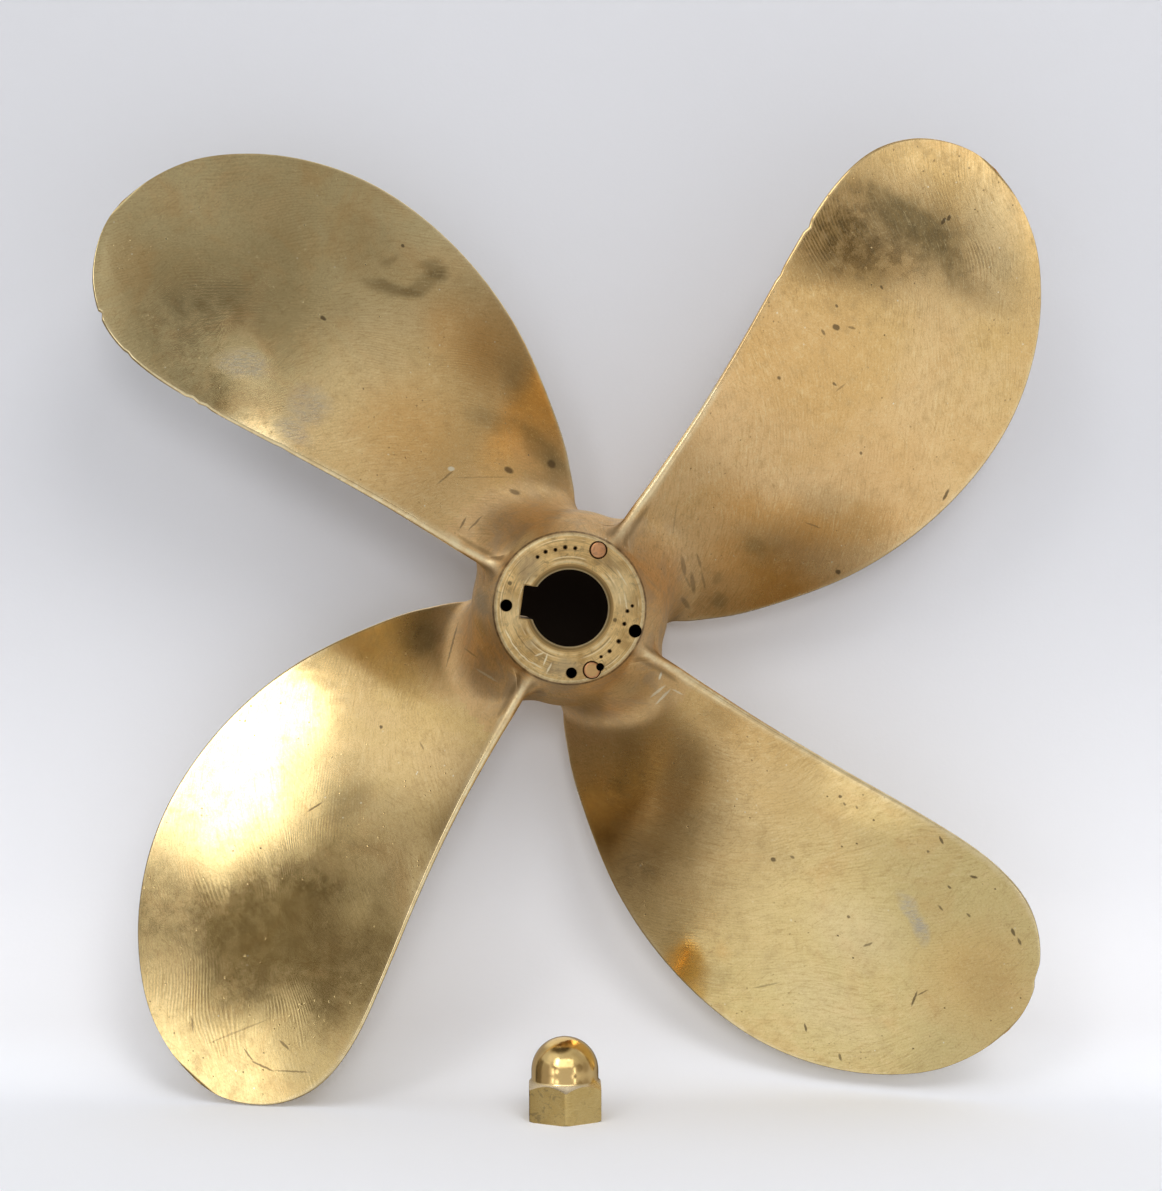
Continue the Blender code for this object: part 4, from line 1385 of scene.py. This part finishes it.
# Square-edged screens: angle, clock angle, half width and half height seen from the object,
# softness of the edge, and strength
BOX_PATCHES = (
    (86, 193, 33, 36, 4, -0.44),
)
EVEN_LIGHT = 0.62


def build_world():
    world = bpy.data.worlds.new("studio")
    world.use_nodes = True
    bpy.context.scene.world = world
    n = Nodes(world.node_tree)
    facing = n.add("ShaderNodeTexCoord").outputs["Generated"]
    total = EVEN_LIGHT
    for theta, clock, inner, outer, strength in ROUND_PATCHES:
        toward = n.vector("DOT_PRODUCT", facing, direction(theta, clock))
        mask = n.range(toward, math.cos(math.radians(outer)), math.cos(math.radians(inner)))
        total = n.plus(mask, strength, total)
    for theta, clock, width, height, softness, strength in BOX_PATCHES:
        ahead = Vector(direction(theta, clock))
        side = ahead.cross(Vector((0, 0, 1))).normalized()
        up = side.cross(ahead)
        near = n.math("MAXIMUM", n.vector("DOT_PRODUCT", facing, tuple(ahead)), 0.02)
        mask = 1.0
        for axis, half in ((side, width), (up, height)):
            offset = n.math("DIVIDE", n.vector("DOT_PRODUCT", facing, tuple(axis)), near)
            offset = n.math("ABSOLUTE", offset)
            low, high = (math.tan(math.radians(half + part)) for part in (softness, -softness))
            mask = n.times(n.range(offset, low, high), mask)
        total = n.plus(mask, strength, total)
    total = n.math("MAXIMUM", total, 0.04)
    tint = n.mix(n.range(total, 0.06, 0.60), colour(1.0, 0.85, 0.66), colour(1.0, 1.0, 1.0))
    grey = n.add("ShaderNodeCombineXYZ", {0: total, 1: total, 2: total}).outputs[0]
    light = n.vector("MULTIPLY", tint, grey)
    seen = n.add("ShaderNodeLightPath").outputs["Is Camera Ray"]
    light = n.mix(seen, light, colour(0.72, 0.72, 0.75))
    background = n.add("ShaderNodeBackground", {"Color": light, "Strength": 1.0})
    n.add("ShaderNodeOutputWorld", {"Surface": background.outputs[0]})


# The pale sheet stands upright close behind the hub, and curves forward into the floor
SHEET_Y = 0.018
SHEET_TURN = 0.09
SHEET_TOP = 1.4
# Radius of the disc of painted shade on the sheet behind the bore
BORE_SHADE_RADIUS = 0.028


def sheet_material(name, one_sided):
    """Pale paper with painted shade: darker towards the top, brightest at the floor. The back of
    the upright sheet lets views through.
    """
    material, n = new_material(name)
    place = n.add("ShaderNodeTexCoord").outputs["Object"]
    back, up = n.component(place, 1), n.component(place, 2)
    tone = n.mix(n.noise(place, 3.0, 2.0), colour(0.79, 0.795, 0.825), colour(0.82, 0.825, 0.855))
    # Painted shade and light: darker high up, brighter where the sheet meets the floor
    tone = n.layer(tone, n.range(up, -0.16, 0.10), 0.60, 0.605, 0.633)
    tone = n.layer(tone, n.range(up, FLOOR + 0.03, FLOOR), 0.90, 0.92, 0.965)

    # Painted shade: the sheet is painted dark where the bore looks at it, standing in for the shade
    # inside the bore of a leaning casting
    flat = n.vector("MULTIPLY", place, (1.0, 0.0, 1.0))
    painted_bore_shade = n.range(n.vector("LENGTH", flat), BORE_SHADE_RADIUS, BORE_SHADE_RADIUS * 0.92)
    painted_bore_shade = n.times(painted_bore_shade, n.math("GREATER_THAN", back, 0.0))
    tone = n.layer(tone, painted_bore_shade, 0.012, 0.009, 0.007)
    height = n.times(n.noise(place, 500.0, 3.0), 0.00008)
    inputs = {"Base Color": tone, "Roughness": 0.9, "Specular IOR Level": 0.1}
    inputs["Normal"] = n.bump(height, 0.5, 1.0)
    surface = n.add("ShaderNodeBsdfPrincipled", inputs).outputs[0]
    if one_sided:
        clear = n.add("ShaderNodeBsdfTransparent").outputs[0]
        behind = n.add("ShaderNodeNewGeometry").outputs["Backfacing"]
        surface = n.add("ShaderNodeMixShader", {0: behind, 1: surface, 2: clear}).outputs[0]
    n.add("ShaderNodeOutputMaterial", {"Surface": surface})
    return material


def strip(name, profile, material):
    """A wide sheet along X that follows a profile of (y, z) points."""
    bm = bmesh.new()
    half = 4.5
    left = [bm.verts.new((-half, y, z)) for y, z in profile]
    right = [bm.verts.new((half, y, z)) for y, z in profile]
    for i in range(len(profile) - 1):
        bm.faces.new((left[i], right[i], right[i + 1], left[i + 1]))
    piece = new_mesh_object(name, bm)
    piece.data.materials.append(material)
    piece.visible_glossy = False


def build_stage():
    """A pale floor, and a pale sheet that rises from it behind the object."""
    start = SHEET_Y - SHEET_TURN
    profile = [(-3.0, FLOOR), (start - 0.01, FLOOR), (start, FLOOR)]
    for a in np.linspace(0, math.pi / 2, 25)[1:]:
        profile.append((start + SHEET_TURN * math.sin(a), FLOOR + SHEET_TURN * (1 - math.cos(a))))
    profile += [(SHEET_Y, FLOOR + SHEET_TURN + 0.01), (SHEET_Y, FLOOR + SHEET_TOP)]
    strip("sweep", profile, sheet_material("pale_sheet", True))
    below = FLOOR - 0.0005
    strip("floor", [(start - 0.02, below), (3.0, below)], sheet_material("pale_floor", False))


def area_light(name, place, target, size, power):
    """A round soft box that isn't mirrored in the metal."""
    lamp = bpy.data.lights.new(name, "AREA")
    lamp.shape = "DISK"
    lamp.size = size
    lamp.energy = power
    piece = bpy.data.objects.new(name, lamp)
    bpy.context.scene.collection.objects.link(piece)
    piece.location = place
    piece.rotation_euler = (Vector(target) - Vector(place)).to_track_quat("-Z", "Y").to_euler()
    piece.visible_glossy = False
    return piece


# Soft boxes that light only the nut and are mirrored in it: turn round the nut from straight aft
# towards +X, rise, width, height and brightness. They stand at one distance from its dome.
NUT_BOX_DISTANCE = 0.5
NUT_BOXES = (
    (2, 34, 0.50, 0.24, 1.3),
    (-41, 4, 0.05, 0.16, 1.7),
    (34, 6, 0.05, 0.16, 1.7),
    (0, 106, 0.36, 0.20, 0.9),
    (-60, 4, 0.50, 0.44, 0.22),
)


def light_nut(nut):
    only_nut = bpy.data.collections.new("lit_by_nut_boxes")
    only_nut.objects.link(nut)
    middle = Vector((NUT_PLACE_X, NUT_PLACE_Y, FLOOR + NUT_HEIGHT - NUT_DOME_RADIUS))
    for i, (turn, rise, width, height, brightness) in enumerate(NUT_BOXES):
        t, r = math.radians(turn), math.radians(rise)
        away = Vector((math.sin(t) * math.cos(r), -math.cos(t) * math.cos(r), math.sin(r)))
        box = area_light(f"nut_box_{i + 1}", middle + away * NUT_BOX_DISTANCE, middle, width, 1.0)
        box.data.shape = "RECTANGLE"
        box.data.size_y = height
        box.data.energy = brightness * math.pi * width * height
        box.visible_glossy = True
        box.light_linking.receiver_collection = only_nut


# The photo's height and its focal length, in pixels, and the camera's place
PHOTO_HEIGHT = 1191
FOCAL_PIXELS = 2350
CAMERA_PLACE = (0.0052, -1.153, 0.0057)


def build_camera():
    data = bpy.data.cameras.new("photo_view")
    data.sensor_fit = "VERTICAL"
    data.sensor_height = 36.0
    data.lens = data.sensor_height * FOCAL_PIXELS / PHOTO_HEIGHT
    data.clip_start = 0.05
    data.clip_end = 50
    camera = bpy.data.objects.new("photo_view", data)
    bpy.context.scene.collection.objects.link(camera)
    camera.location = CAMERA_PLACE
    camera.rotation_euler = (math.radians(90), 0, 0)
    bpy.context.scene.camera = camera


def dress(piece, materials, slot, *nodes):
    piece.data.materials.clear()
    for material in materials:
        piece.data.materials.append(material)
    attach(piece, "root")
    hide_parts(*nodes)


build_camera()
build_world()
build_stage()
area_light("ceiling_box", (0.0, -0.7, 2.6), (0.0, -0.1, 0.0), 2.0, 13)
area_light("front_box", (1.0, -2.4, 1.9), (-0.1, 1.2, 0.1), 1.4, 24)
area_light("low_box", (0.15, -2.6, 0.42), (-0.05, 0.6, -0.2), 0.6, 12)
casting = fine_casting()
skins = [bronze_material(part) for part in range(len(BLADES) + 1)]
dress(casting, skins, "cast_bronze", "propeller_casting")
choose_materials(casting.data)
copper = copper_material()
for plug in PLUGS:
    dress(fine_plug(*plug), [copper], "copper_plug", plug[0])
nut = fine_nut()
dress(nut, [nut_material()], "nut_brass", "cap_nut")
light_nut(nut)

scene = bpy.context.scene
scene.view_settings.view_transform = "Standard"
scene.view_settings.look = "None"
